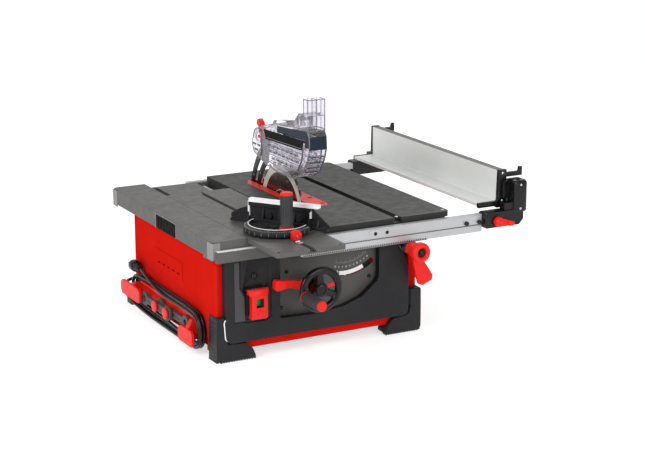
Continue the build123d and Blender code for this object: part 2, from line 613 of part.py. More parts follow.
STANDOFF_ANGLES = (150, 270, 330)
with BuildPart() as motor_housing:
    rod_x(MOTOR_Y, MOTOR_Z, -118, -10, MOTOR_RADIUS)
    rod_x(MOTOR_Y, MOTOR_Z, -114, -14, MOTOR_RADIUS - 4, Mode.SUBTRACT)
    rod_x(MOTOR_Y, MOTOR_Z, -15, -9, 5 + RUN, Mode.SUBTRACT)
    with Locations(Location((-64, MOTOR_Y, MOTOR_Z), (0, 90, 0))):
        with PolarLocations(MOTOR_RADIUS - 2, 10):
            Box(6, 8, 60, mode=Mode.SUBTRACT)
    with BuildSketch(Plane.YZ.offset(16)):
        with Locations((BLADE_Y, ARBOR_Z)):
            Circle(26)
        with Locations((MOTOR_Y, MOTOR_Z)):
            Circle(MOTOR_RADIUS)
        make_hull()
    extrude(amount=ARM_LEFT - 16)
    for angle in STANDOFF_ANGLES:
        y, z = polar((MOTOR_Y, MOTOR_Z), MOTOR_RADIUS - 6, angle)
        rod_x(y, z, -10, 16, 5)
    rod_x(BLADE_Y, ARBOR_Z, 15, 23, ARBOR_RADIUS + 1, Mode.SUBTRACT)
save(motor_housing, "motor_housing")

with BuildPart() as motor_rotor:
    rod_x(MOTOR_Y, MOTOR_Z, -113, 14, 5)
    rod_x(MOTOR_Y, MOTOR_Z, -95, -45, 26)
    rod_x(MOTOR_Y, MOTOR_Z, -38, -24, 14)
    rod_x(MOTOR_Y, MOTOR_Z, -4, 14, MOTOR_PULLEY)
save(motor_rotor, "motor_rotor")


def belt_loop(gap):
    """The region inside a belt that wraps both pulleys at a gap from their rims."""
    with BuildSketch(Plane.YZ.offset(-3)) as loop:
        with Locations((BLADE_Y, ARBOR_Z)):
            Circle(ARBOR_PULLEY + gap)
        with Locations((MOTOR_Y, MOTOR_Z)):
            Circle(MOTOR_PULLEY + gap)
        make_hull()
    return loop.sketch


with BuildPart() as drive_belt:
    extrude(belt_loop(3.3), amount=16)
    extrude(belt_loop(0.3), amount=16, mode=Mode.SUBTRACT)
save(drive_belt, "drive_belt")

BLADE_LEFT, BLADE_RIGHT = BLADE_X - BLADE_PLATE / 2, BLADE_X + BLADE_PLATE / 2
with BuildPart() as arbor:
    rod_x(BLADE_Y, ARBOR_Z, -4, 14, ARBOR_PULLEY)
    rod_x(BLADE_Y, ARBOR_Z, 14, 62, ARBOR_RADIUS)
    rod_x(BLADE_Y, ARBOR_Z, 62, 94, 8)
save(arbor, "arbor")

with BuildPart() as blade_flanges:
    rod_x(BLADE_Y, ARBOR_Z, 62, BLADE_LEFT, 20)
    rod_x(BLADE_Y, ARBOR_Z, BLADE_LEFT, BLADE_RIGHT, 15)
    rod_x(BLADE_Y, ARBOR_Z, BLADE_RIGHT, 79, 20)
    with BuildSketch(Plane.YZ.offset(79)):
        with Locations((BLADE_Y, ARBOR_Z)):
            RegularPolygon(12, 6)
    extrude(amount=12)
    rod_x(BLADE_Y, ARBOR_Z, 60, 95, 8, Mode.SUBTRACT)
save(blade_flanges, "blade_flanges")

with BuildPart() as blade:
    with BuildSketch(Plane.YZ.offset(BLADE_LEFT)):
        with Locations((BLADE_Y, ARBOR_Z)):
            Circle(BLADE_RADIUS)
            Circle(15, mode=Mode.SUBTRACT)
        for tooth in range(BLADE_TEETH):
            start = tooth * 360 / BLADE_TEETH
            centre = (BLADE_Y, ARBOR_Z)
            gullet = [
                polar(centre, BLADE_RADIUS + 1, start),
                polar(centre, BLADE_RADIUS - 11, start + 1.5),
                polar(centre, BLADE_RADIUS - 11, start + 5),
                polar(centre, BLADE_RADIUS - 3, start + 9),
                polar(centre, BLADE_RADIUS + 1, start + 9.5),
            ]
            Polygon(*gullet, align=None, mode=Mode.SUBTRACT)
        for slot in range(4):
            inner = polar((BLADE_Y, ARBOR_Z), 88, slot * 90 + 20)
            with Locations(inner):
                Circle(4, mode=Mode.SUBTRACT)
    extrude(amount=BLADE_PLATE)
save(blade, "blade")

GUARD_PIVOT = (GUARD_PIVOT_Y, above(GUARD_PIVOT_ABOVE))
KNIFE_LOW_ANGLE = -15.0
with BuildPart() as riving_knife:
    with BuildSketch(Plane.YZ.offset(BLADE_X - KNIFE_PLATE / 2)):
        centre = (BLADE_Y, ARBOR_Z)
        with BuildLine():
            low_in = polar(centre, KNIFE_INNER, KNIFE_LOW_ANGLE)
            low_out = polar(centre, KNIFE_OUTER, KNIFE_LOW_ANGLE)
            high_out = polar(centre, KNIFE_OUTER, 50)
            high_in = polar(centre, KNIFE_INNER, 58)
            ThreePointArc(low_out, polar(centre, KNIFE_OUTER, 20), high_out)
            Polyline(high_out, (GUARD_PIVOT_Y + 20, GUARD_PIVOT[1]), (GUARD_PIVOT_Y - 20, GUARD_PIVOT[1]),
                     high_in)
            ThreePointArc(high_in, polar(centre, KNIFE_INNER, 20), low_in)
            Line(low_in, low_out)
        make_face()
        with Locations(GUARD_PIVOT):
            Circle(20)
            Circle(4 + RUN, mode=Mode.SUBTRACT)
        SlotArc(CenterArc(centre, 160, 12, 36), 5, mode=Mode.SUBTRACT)
    extrude(amount=KNIFE_PLATE)
save(riving_knife, "riving_knife")

# ---------------------------------------------------------------- blade guard
GUARD_LEFT, GUARD_RIGHT = BLADE_X - GUARD_WIDTH / 2, BLADE_X + GUARD_WIDTH / 2
GUARD_OUTLINE = [
    (170, above(119)), (158, above(94)), (87, above(73)), (12, above(66)), (-56, above(65.5)),
    (-84, above(70)), (-128, above(97)), (-149, above(127)), (-160, above(155)), (-158, above(188)),
    (-144, above(206)), (-90, above(202)), (28, above(192)), (92, above(176)), (148, above(158)),
]
TOWER_FRONT, TOWER_REAR = -152.0, -98.0

with BuildPart() as guard_shell:
    slab_yz(GUARD_OUTLINE, GUARD_LEFT, GUARD_RIGHT)
    fillet(guard_shell.edges().filter_by(Axis.X), 4)
    with BuildSketch(Plane.YZ.offset(GUARD_LEFT + GUARD_WALL)):
        Polygon(*GUARD_OUTLINE, align=None)
        offset(amount=-GUARD_WALL, mode=Mode.REPLACE)
    extrude(amount=GUARD_WIDTH - 2 * GUARD_WALL, mode=Mode.SUBTRACT)
    slab_yz(
        [(180, above(130)), (160, above(80)), (87, above(60)), (-60, above(55)), (-90, above(60)),
         (-122, above(88)), (-118, above(104)), (-80, above(84)), (0, above(76)), (80, above(84)),
         (150, above(108)), (158, above(130))],
        GUARD_LEFT + GUARD_WALL, GUARD_RIGHT - GUARD_WALL, Mode.SUBTRACT,
    )
    # the slot over the riving knife and the clamping lever
    block(BLADE_X - 16, BLADE_X + 5, 58, 175, above(130), above(200), Mode.SUBTRACT)
    rod_x(GUARD_PIVOT_Y, GUARD_PIVOT[1], GUARD_LEFT - 1, GUARD_RIGHT + 1, 4 + RUN, Mode.SUBTRACT)
    # twin extraction channels standing on the nose
    block(GUARD_LEFT, GUARD_RIGHT, TOWER_FRONT, TOWER_REAR, above(198), above(240))
    block(GUARD_LEFT, GUARD_RIGHT, TOWER_FRONT, TOWER_FRONT + 26, above(240), above(282))
    for left, right in ((GUARD_LEFT + 2.5, BLADE_X - 1.2), (BLADE_X + 1.2, GUARD_RIGHT - 2.5)):
        block(left, right, TOWER_FRONT + 2.5, TOWER_FRONT + 23.5, above(196), above(283), Mode.SUBTRACT)
        block(left, right, TOWER_FRONT + 2.5, TOWER_REAR - 2.5, above(196), above(237.5), Mode.SUBTRACT)
save(guard_shell, "guard_shell")

with BuildPart() as guard_lever:
    rod_x(GUARD_PIVOT_Y, GUARD_PIVOT[1], GUARD_LEFT - 4, GUARD_RIGHT + 4, 4)
    for x0, x1 in ((GUARD_LEFT - 4, GUARD_LEFT - 0.3), (GUARD_RIGHT + 0.3, GUARD_RIGHT + 4)):
        rod_x(GUARD_PIVOT_Y, GUARD_PIVOT[1], x0, x1, 8)
    rod_x(GUARD_PIVOT_Y, GUARD_PIVOT[1], BLADE_X - 14, BLADE_X - 4, 11)
    slab_yz(
        [(GUARD_PIVOT_Y - 6, GUARD_PIVOT[1] + 6), (GUARD_PIVOT_Y + 7, GUARD_PIVOT[1] - 6),
         (160, above(168)), (158, above(180)), (148, above(184)), (139, above(178))],
        BLADE_X - 14, BLADE_X - 4,
    )
save(guard_lever, "guard_lever")

# ---------------------------------------------------------------- handwheel and bevel lever
WHEEL_Z = below(WHEEL_BELOW)
WHEEL_FRONT, WHEEL_BACK = -386.0, -370.0
WHEEL_RADIUS = 56.5
GRIP_RADIUS = 48.6
GRIP_ANGLE = 191.0
GRIP_X, GRIP_Z = polar((WHEEL_X, WHEEL_Z), GRIP_RADIUS, GRIP_ANGLE)

with BuildPart() as handwheel:
    rod_y(WHEEL_X, WHEEL_Z, WHEEL_FRONT, WHEEL_BACK, WHEEL_RADIUS)
    fillet(handwheel.edges().filter_by(GeomType.CIRCLE), 5)
    rod_y(WHEEL_X, WHEEL_Z, WHEEL_FRONT - 1, WHEEL_BACK + 1, 41, Mode.SUBTRACT)
    with Locations(Location((WHEEL_X, (WHEEL_FRONT + WHEEL_BACK) / 2, WHEEL_Z), (90, 0, 0))):
        with PolarLocations(22, 3, start_angle=GRIP_ANGLE - 360 / 3):
            Box(44, 15, 10)
    rod_y(WHEEL_X, WHEEL_Z, WHEEL_FRONT - 2, -350, 17)
    rod_y(WHEEL_X, WHEEL_Z, -350, -240, HANDWHEEL_SHAFT)
    rod_y(GRIP_X, GRIP_Z, WHEEL_FRONT, WHEEL_BACK, 8)
    rod_y(GRIP_X, GRIP_Z, -470, WHEEL_FRONT, 4)
save(handwheel, "handwheel")

with BuildPart() as crank_grip:
    rod_y(GRIP_X, GRIP_Z, -478, WHEEL_FRONT - 1, 13)
    fillet(crank_grip.edges().filter_by(GeomType.CIRCLE), 2)
    rod_y(GRIP_X, GRIP_Z, -472, WHEEL_FRONT, 4 + RUN, Mode.SUBTRACT)
save(crank_grip, "crank_grip")

with BuildPart() as bevel_lever:
    rod_y(WHEEL_X, WHEEL_Z, -346, -326, 20)
    slab_xz(
        [(WHEEL_X - 5, WHEEL_Z + 19), (-134, below(113)), (-137, below(133)), (WHEEL_X - 5, WHEEL_Z - 12)],
        -346, -332,
    )
    rod_y(WHEEL_X, WHEEL_Z, -347, -325, HANDWHEEL_SHAFT + RUN, Mode.SUBTRACT)
save(bevel_lever, "bevel_lever")

# ---------------------------------------------------------------- switch
FLAP_AXIS_Y, FLAP_AXIS_BELOW = -329.0, 129.0
with BuildPart() as switch_housing:
    block(SWITCH_LEFT + 0.5, SWITCH_RIGHT - 0.5, PANEL_FRONT - 3, -288, below(SWITCH_LOW - 0.5),
          below(SWITCH_HIGH + 0.5))
    block(-192, -170, PANEL_FRONT - 4, -294, below(172), below(146), Mode.SUBTRACT)
    for x in (SWITCH_LEFT + 0.5, SWITCH_RIGHT - 3.5):
        block(x, x + 3, FLAP_AXIS_Y - 5, PANEL_FRONT - 3, below(FLAP_AXIS_BELOW + 5),
              below(FLAP_AXIS_BELOW - 5))
        rod_x(FLAP_AXIS_Y, below(FLAP_AXIS_BELOW), x - 1, x + 4, 2 + RUN, Mode.SUBTRACT)
save(switch_housing, "switch_housing")

FLAP_LEFT, FLAP_RIGHT = SWITCH_LEFT + 4, SWITCH_RIGHT - 4
with BuildPart() as switch_flap:
    slab_yz(
        [(-325, below(126)), (-333, below(126)), (-343, below(146)), (-343, below(198)),
         (-339, below(206)), (-333, below(206)), (-338, below(196)), (-338, below(148)), (-328, below(133)),
         (-325, below(132))],
        FLAP_LEFT, FLAP_RIGHT,
    )
    block(-190, -171, -350, -334, below(170), below(149), Mode.SUBTRACT)
    rod_x(FLAP_AXIS_Y, below(FLAP_AXIS_BELOW), FLAP_LEFT - 3.2, FLAP_RIGHT + 3.2, 2)
save(switch_flap, "switch_flap")

with BuildPart() as on_button:
    block(-191, -171, -328, -300, below(171), below(147))
    fillet(on_button.edges().filter_by(Axis.Y), 2)
save(on_button, "on_button")

# ---------------------------------------------------------------- fence rails and pinion
TOOTH_PITCH = math.pi * GEAR_MODULE
PITCH_RADIUS = GEAR_MODULE * PINION_TEETH / 2
TOOTH_OUT, TOOTH_IN = 1.2, 1.5
FLANK = math.tan(math.radians(20))
TOOTH_HALF = 0.21 * TOOTH_PITCH
RACK_LINE_BELOW = PINION_BELOW - PITCH_RADIUS
RACK_LEFT_TEETH, RACK_RIGHT_TEETH = 64, 11


def rack_outline():
    """The toothed underside of a rail, with a gap centred over the pinion."""
    root = below(RACK_LINE_BELOW - TOOTH_IN)
    tip = below(RACK_LINE_BELOW + TOOTH_OUT)
    wide = TOOTH_HALF + TOOTH_IN * FLANK
    narrow = TOOTH_HALF - TOOTH_OUT * FLANK
    points = []
    for tooth in range(-RACK_LEFT_TEETH, RACK_RIGHT_TEETH):
        middle = PINION_X + (tooth + 0.5) * TOOTH_PITCH
        points += [(middle - wide, root), (middle - narrow, tip), (middle + narrow, tip),
                   (middle + wide, root)]
    ceiling = below(RAIL_BOTTOM_BELOW - 1)
    return points + [(points[-1][0], ceiling), (points[0][0], ceiling)]


def pinion_outline():
    """The pinion's toothed outline, with one tooth pointing straight up."""
    points = []
    centre = (PINION_X, below(PINION_BELOW))
    for tooth in range(PINION_TEETH):
        middle = 90 + tooth * 360 / PINION_TEETH
        for radius, half in (
            (PITCH_RADIUS - TOOTH_IN, -(TOOTH_HALF + TOOTH_IN * FLANK * 0.7)),
            (PITCH_RADIUS + TOOTH_OUT, -(TOOTH_HALF - TOOTH_OUT * FLANK * 1.4)),
            (PITCH_RADIUS + TOOTH_OUT, TOOTH_HALF - TOOTH_OUT * FLANK * 1.4),
            (PITCH_RADIUS - TOOTH_IN, TOOTH_HALF + TOOTH_IN * FLANK * 0.7),
        ):
            points.append(polar(centre, radius, middle + math.degrees(half / radius)))
    return points


with BuildPart() as front_rail:
    block(RAIL_LEFT, RAIL_RIGHT, -RAIL_FACE, -RAIL_BACK, below(RAIL_BOTTOM_BELOW), below(RAIL_TOP_BELOW))
    block(RAIL_LEFT - 1, RAIL_RIGHT + 1, -RAIL_FACE + 4, -RAIL_BACK - 4, below(50), below(22), Mode.SUBTRACT)
    block(RAIL_LEFT - 1, RAIL_RIGHT + 1, -RAIL_BACK - 4, -RAIL_BACK + 1, below(42), below(30), Mode.SUBTRACT)
    block(RAIL_LEFT - 1, RAIL_RIGHT + 1, -RAIL_FACE - 1, -RAIL_FACE + 2, below(42), below(39), Mode.SUBTRACT)
    slab_xz(rack_outline(), -RAIL_FACE + 1, -RAIL_BACK - 1)
save(front_rail, "front_rail")

with BuildPart() as rear_rail:
    mirror(front_rail.part, about=Plane.XZ)
save(rear_rail, "rear_rail")

with BuildPart() as rail_guides:
    for left in (140, 300):
        block(left, left + 36, -RAIL_BACK - 4.5, -TABLE_HALF_DEPTH, below(41.6), below(30.4))
        block(left, left + 36, -RAIL_FACE + 4.4, -RAIL_BACK - 4.4, below(49.6), below(22.4))
save_mirrored(rail_guides, "rail_guides")

with BuildPart() as pinion_bearings:
    slab_xz(
        [(224, below(APRON_DEPTH)), (258, below(APRON_DEPTH)), (258, below(82)), (248, below(90)),
         (232, below(90)), (224, below(76))],
        -327, -301,
    )
    rod_y(PINION_X, below(PINION_BELOW), -328, -300, 6 + RUN, Mode.SUBTRACT)
save_mirrored(pinion_bearings, "pinion_bearings")

with BuildPart() as pinion_shaft:
    rod_y(PINION_X, below(PINION_BELOW), -395, 345, 6)
    slab_xz(pinion_outline(), -RAIL_FACE + 1, -RAIL_BACK - 0.5)
    slab_xz(pinion_outline(), RAIL_BACK + 0.5, RAIL_FACE - 1)
save(pinion_shaft, "pinion_shaft")

KNOB_PROFILE = [(6.0, -357.0), (15.0, -357.0), (19.0, -362.0), (19.0, -374.0), (25.0, -380.0),
                (28.0, -386.0), (28.0, -398.0), (24.0, -403.0), (13.0, -401.0), (11.0, -396.0),
                (6.0, -396.0)]
with BuildPart() as pinion_knob:
    knob_plane = Plane(origin=(PINION_X, 0, below(PINION_BELOW)), x_dir=(1, 0, 0), z_dir=(0, 0, 1))
    with BuildSketch(knob_plane):
        Polygon(*KNOB_PROFILE, align=None)
    revolve(axis=Axis((PINION_X, 0, below(PINION_BELOW)), (0, 1, 0)))
save(pinion_knob, "pinion_knob")

with BuildPart() as rail_lock_lever:
    rod_y(PINION_X, below(PINION_BELOW), -354, -345, 16)
    slab_xz(
        [(PINION_X + 2, below(62)), (PINION_X + 16, below(76)), (296, below(122)), (318, below(148)),
         (314, below(163)), (292, below(164)), (268, below(128)), (PINION_X - 12, below(84))],
        -354, -345,
    )
    rod_y(PINION_X, below(PINION_BELOW), -355, -344, 6 + RUN, Mode.SUBTRACT)
save(rail_lock_lever, "rail_lock_lever")

# ---------------------------------------------------------------- rip fence
FENCE_FRONT, FENCE_REAR = -318.0, 318.0
FENCE_THICK, FENCE_HEIGHT = 21.0, 88.0
CARRIER_LEFT, CARRIER_RIGHT = RAIL_RIGHT, 563.0

with BuildPart() as fence_profile:
    block(FENCE_X, FENCE_X + FENCE_THICK, FENCE_FRONT, FENCE_REAR, above(1), above(1 + FENCE_HEIGHT))
    for low, high in ((3.5, 44), (46.5, 86.5)):
        block(FENCE_X + 2.5, FENCE_X + FENCE_THICK - 2.5, FENCE_FRONT - 1, FENCE_REAR + 1,
              above(low), above(high), Mode.SUBTRACT)
    block(FENCE_X + FENCE_THICK - 3, FENCE_X + FENCE_THICK + 1, FENCE_FRONT - 1, FENCE_REAR + 1,
          above(60), above(68), Mode.SUBTRACT)
save(fence_profile, "fence_profile")

with BuildPart() as fence_ledge:
    block(446, FENCE_X, FENCE_FRONT, FENCE_REAR, above(1), above(8.5))
    block(452, FENCE_X - 8, FENCE_FRONT - 1, FENCE_REAR + 1, above(3), above(6.5), Mode.SUBTRACT)
save(fence_ledge, "fence_ledge")


HEAD_LEFT, HEAD_RIGHT = 531.0, 574.0
HEAD_FRONT, HEAD_BACK = -362.0, -317.0
HEAD_CORNER = 6.0

with BuildPart() as front_head:
    slab_xy(
        [(HEAD_LEFT, HEAD_BACK), (HEAD_LEFT, HEAD_FRONT + HEAD_CORNER),
         (HEAD_LEFT + HEAD_CORNER, HEAD_FRONT), (HEAD_RIGHT - HEAD_CORNER, HEAD_FRONT),
         (HEAD_RIGHT, HEAD_FRONT + HEAD_CORNER), (HEAD_RIGHT, HEAD_BACK)],
        below(20), above(66),
    )
    # carrier on the rail end
    block(CARRIER_LEFT, CARRIER_RIGHT, -360, -RAIL_BACK, below(50), below(9))
    block(506, 541, -356, -334, below(10), above(10))
    # end cap over the fence and its ledge, with a web back to the head
    block(500, 530, FENCE_FRONT - 10, FENCE_FRONT, below(8), above(91))
    block(446, 501, FENCE_FRONT - 8, FENCE_FRONT, below(4), above(10))
    block(514, 540, -336, FENCE_FRONT, above(18), above(62))
    # storage hook
    block(518, 578, FENCE_FRONT - 9, FENCE_FRONT, above(70), above(82))
    block(568, 578, FENCE_FRONT - 9, FENCE_FRONT, above(82), above(94))
save_mirrored(front_head, "fence_heads")


def fence_lever(side):
    """A cam lever on the outer face of a fence carrier."""
    with BuildPart() as piece:
        rod_y(484, below(34), *sorted((side * 376, side * 360.3)), 13)
        slab_xz(
            [(478, below(22)), (503, below(29)), (524, below(31)), (527, below(41)), (503, below(43)),
             (479, below(46))],
            *sorted((side * 376, side * 364)),
        )
    return piece


save(fence_lever(-1), "front_fence_lever")
save(fence_lever(1), "rear_fence_lever")

# ---------------------------------------------------------------- cord store
HANK_Y, HANK_Z = -28.0, 59.0
HANK_STRAIGHT = 352.0
HANK_OUTER, HANK_INNER = 106.0, 68.0
HANK_NEAR, HANK_FAR = -281.5, -299.5

SPANNER_PINS = (10.0, -60.0)
with BuildPart() as cord_holder:
    block(-284, -BODY_HALF, -200, 150, HANK_Z - 26, HANK_Z + 26)
    block(-304, -284, -196, 146, HANK_Z + 24, HANK_Z + 32)
    for y0, y1 in ((-212, -196), (146, 162)):
        block(-316, -BODY_HALF, y0, y1, HANK_Z - 26, HANK_Z + 26)
    block(-316, -308, -236, -150, HANK_Z - 38, HANK_Z + 4)
    block(-316, -308, 96, 226, HANK_Z - 18, HANK_Z + 22)
    for y in SPANNER_PINS:
        rod_x(y, HANK_Z + 1, -309, -284, 7)
save(cord_holder, "cord_holder")

with BuildPart() as blade_spanners:
    for y0, y1, x0, x1 in ((-150, 10, -296, -288), (-60, 86, -306, -298)):
        block(x0, x1, y0, y1, HANK_Z - 10, HANK_Z + 12)
        for end in (y0, y1):
            rod_x(end, HANK_Z + 1, x0, x1, 19)
            rod_x(end, HANK_Z + 1, x0 - 1, x1 + 1, 9, Mode.SUBTRACT)
        for y in SPANNER_PINS:
            rod_x(y, HANK_Z + 1, x0 - 1, x1 + 1, 7.4, Mode.SUBTRACT)
save(blade_spanners, "blade_spanners")

with BuildPart() as cord_gland:
    with BuildLine() as bend:
        CenterArc((GLAND_X - GLAND_BEND, BODY_REAR, GLAND_Z), GLAND_BEND, 0, 90)
    with BuildSketch(Plane(origin=(GLAND_X, BODY_REAR, GLAND_Z), x_dir=(1, 0, 0), z_dir=(0, 1, 0))):
        Circle(7.5)
    sweep(path=bend.line)
    rod_y(GLAND_X, GLAND_Z, BODY_REAR, BODY_REAR + 4, 13)
save(cord_gland, "cord_gland")

CORD_ROUTE = [
    (GLAND_X - GLAND_BEND, BODY_REAR + GLAND_BEND, GLAND_Z),
    (-258, 288, 58),
    (-298, 264, 48),
    (-302, 212, 31),
    (-294, 162, 17),
]


def corner_radii(points):
    """The bend radius at each corner of a route, as large as its two runs allow."""
    radii = []
    for before, here, after in zip(points, points[1:], points[2:]):
        inward = Vector(*here) - Vector(*before)
        outward = Vector(*after) - Vector(*here)
        shorter = min(inward.length, outward.length)
        radii.append(0.45 * shorter / math.tan(math.radians(inward.get_angle(outward) / 2)))
    return radii


CORD_RADII = corner_radii(CORD_ROUTE)
print("cord radii", [round(radius, 1) for radius in CORD_RADII])

with BuildPart() as cord_tube:
    with BuildLine() as cord_path:
        FilletPolyline(*CORD_ROUTE, radius=CORD_RADII)
    with BuildSketch(Plane(origin=CORD_ROUTE[0], z_dir=cord_path.line % 0)):
        Circle(CORD_RADIUS)
    sweep(path=cord_path.line)
save(cord_tube, "cord_tube")
CORD_LENGTH = sum(edge.length for edge in cord_path.line.edges())
print("cord tube length", round(CORD_LENGTH), "volume", round(cord_tube.part.volume),
      "section times length", round(math.pi * CORD_RADIUS**2 * CORD_LENGTH))

with BuildPart() as cord_coil:
    with BuildSketch(Plane.YZ.offset(HANK_FAR)):
        with Locations((HANK_Y, HANK_Z)):
            SlotCenterToCenter(HANK_STRAIGHT, HANK_OUTER)
            SlotCenterToCenter(HANK_STRAIGHT, HANK_INNER, mode=Mode.SUBTRACT)
    extrude(amount=HANK_NEAR - HANK_FAR)
save(cord_coil, "cord_coil")

PLUG_X, PLUG_Z = -299.0, 128.0
with BuildPart() as cord_plug:
    rod_y(PLUG_X, PLUG_Z, 128, 150, 11)
    rod_y(PLUG_X, PLUG_Z, 150, 176, 15)
    fillet(cord_plug.edges().group_by(Axis.Y)[-1], 2)
    for x in (PLUG_X - 9.5, PLUG_X + 9.5):
        rod_y(x, PLUG_Z, 176, 195, 2.4)
save(cord_plug, "cord_plug")
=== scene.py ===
"""Benchtop table saw: materials, modelled pieces, cord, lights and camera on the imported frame.

Blender lengths are metres. The shapes below are given in millimetres in the part's own frame:
x to the right, y to the rear, and heights above the table top, which stands 305 mm up.
"""
from math import atan2, cos, degrees, pi, radians, sin, tan

import bmesh
import bpy
from mathutils import Matrix, Vector


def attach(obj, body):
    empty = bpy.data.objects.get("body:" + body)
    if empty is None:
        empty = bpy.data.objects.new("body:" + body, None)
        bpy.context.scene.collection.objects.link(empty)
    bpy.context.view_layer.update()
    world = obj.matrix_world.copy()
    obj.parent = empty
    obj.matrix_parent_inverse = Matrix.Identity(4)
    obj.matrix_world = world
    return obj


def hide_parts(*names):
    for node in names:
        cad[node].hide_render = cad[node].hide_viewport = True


TABLE_TOP = 305.0
SURROUNDING_LIGHT = 0.62
CREASE = radians(38)
SIDES = ((-1, "left"), (1, "right"))

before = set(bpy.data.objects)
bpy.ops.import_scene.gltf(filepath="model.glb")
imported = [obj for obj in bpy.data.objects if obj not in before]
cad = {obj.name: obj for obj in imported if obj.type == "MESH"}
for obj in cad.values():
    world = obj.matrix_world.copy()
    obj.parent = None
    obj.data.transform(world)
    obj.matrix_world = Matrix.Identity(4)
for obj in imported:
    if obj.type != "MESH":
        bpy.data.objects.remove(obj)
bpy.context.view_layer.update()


# ---------------------------------------------------------------- materials

def linear(rgb):
    """sRGB 0..255 to linear 0..1, with alpha."""
    out = []
    for c in rgb:
        c /= 255.0
        out.append(c / 12.92 if c <= 0.04045 else ((c + 0.055) / 1.055) ** 2.4)
    return (*out, 1.0)


def add_node(tree, kind, values, **settings):
    """A shader node with its inputs set from values or linked from other nodes' outputs."""
    node = tree.nodes.new("ShaderNode" + kind)
    for key, value in settings.items():
        setattr(node, key, value)
    for key, value in values.items():
        if isinstance(value, bpy.types.NodeSocket):
            tree.links.new(value, node.inputs[key])
        else:
            node.inputs[key].default_value = value
    return node.outputs


def finish(name, rgb, rough, mottle=0.10, grain=900.0, bump=0.12, metal=0.0, streak=(1, 1, 1),
           edge=0.0, radius=0.6, clear=0.0, ior=1.45, dust=0.25, shine=0.3):
    """A procedural surface: broad colour variation, fine grain, uneven gloss and worn edges.

    mottle is how far the colour wanders, grain how fine the speckle is and bump how deep.
    streak stretches the grain along an axis, as brushing or drawing does. edge is how much
    lighter the rubbed corners are, and radius rounds them in millimetres.
    """
    mat = bpy.data.materials.new(name)
    mat.use_nodes = True
    tree = mat.node_tree
    shader = tree.nodes["Principled BSDF"].inputs
    for key, value in (("Metallic", metal), ("Coat Roughness", 0.08), ("Transmission Weight", clear),
                       ("IOR", ior), ("Specular IOR Level", shine)):
        shader[key].default_value = value
    place = add_node(tree, "TexCoord", {})["Object"]
    stretched = add_node(tree, "Mapping", {"Scale": streak, "Vector": place})["Vector"]

    def noise(scale, detail, vector):
        return add_node(tree, "TexNoise", {"Scale": scale, "Detail": detail, "Roughness": 0.6,
                                           "Vector": vector})["Fac"]

    def ramp(fac, low, high, start=0.3, end=0.7):
        return add_node(tree, "MapRange", {"From Min": start, "From Max": end, "To Min": low,
                                           "To Max": high, "Value": fac})["Result"]

    def mix(fac, a, b):
        return add_node(tree, "Mix", {6: a, 7: b, 0: fac}, data_type="RGBA", blend_type="MIX")[2]

    def tone(share, lift):
        return (*(min(1, c * share + lift) for c in base[:3]), 1.0)

    broad, smudge = noise(9.0, 4.0, place), noise(45.0, 5.0, place)
    fine = noise(grain, 2.0, stretched)
    base = linear(rgb)
    colour = mix(ramp(broad, 0.0, 1.0), tone(1 - mottle, 0.0), tone(1 + mottle, 0.002))
    colour = mix(ramp(fine, 0.0, 0.45, 0.45, 0.75), colour, tone(1 + 2.2 * mottle, 0.004))
    normal = {}
    if edge or radius:
        soft = add_node(tree, "Bevel", {"Radius": max(radius, 0.1) / 1000}, samples=4)["Normal"]
        normal = {"Normal": soft}
    if edge:
        true = add_node(tree, "NewGeometry", {})["Normal"]
        facing = add_node(tree, "VectorMath", {0: soft, 1: true}, operation="DOT_PRODUCT")["Value"]
        worn = add_node(tree, "Math", {0: ramp(facing, edge, 0.0, 0.80, 0.985),
                                       1: ramp(smudge, 0.35, 1.0)}, operation="MULTIPLY")["Value"]
        colour = mix(worn, colour, tone(1.5, 0.10))
    relief = add_node(tree, "Bump", {"Strength": bump, "Distance": 0.0004, "Height": fine, **normal})
    gloss = ramp(smudge, max(0.02, rough - 0.10 * dust * 4), min(1, rough + 0.08 * dust * 4))
    for key, value in (("Base Color", colour), ("Roughness", gloss), ("Normal", relief["Normal"])):
        tree.links.new(value, shader[key])
    return mat


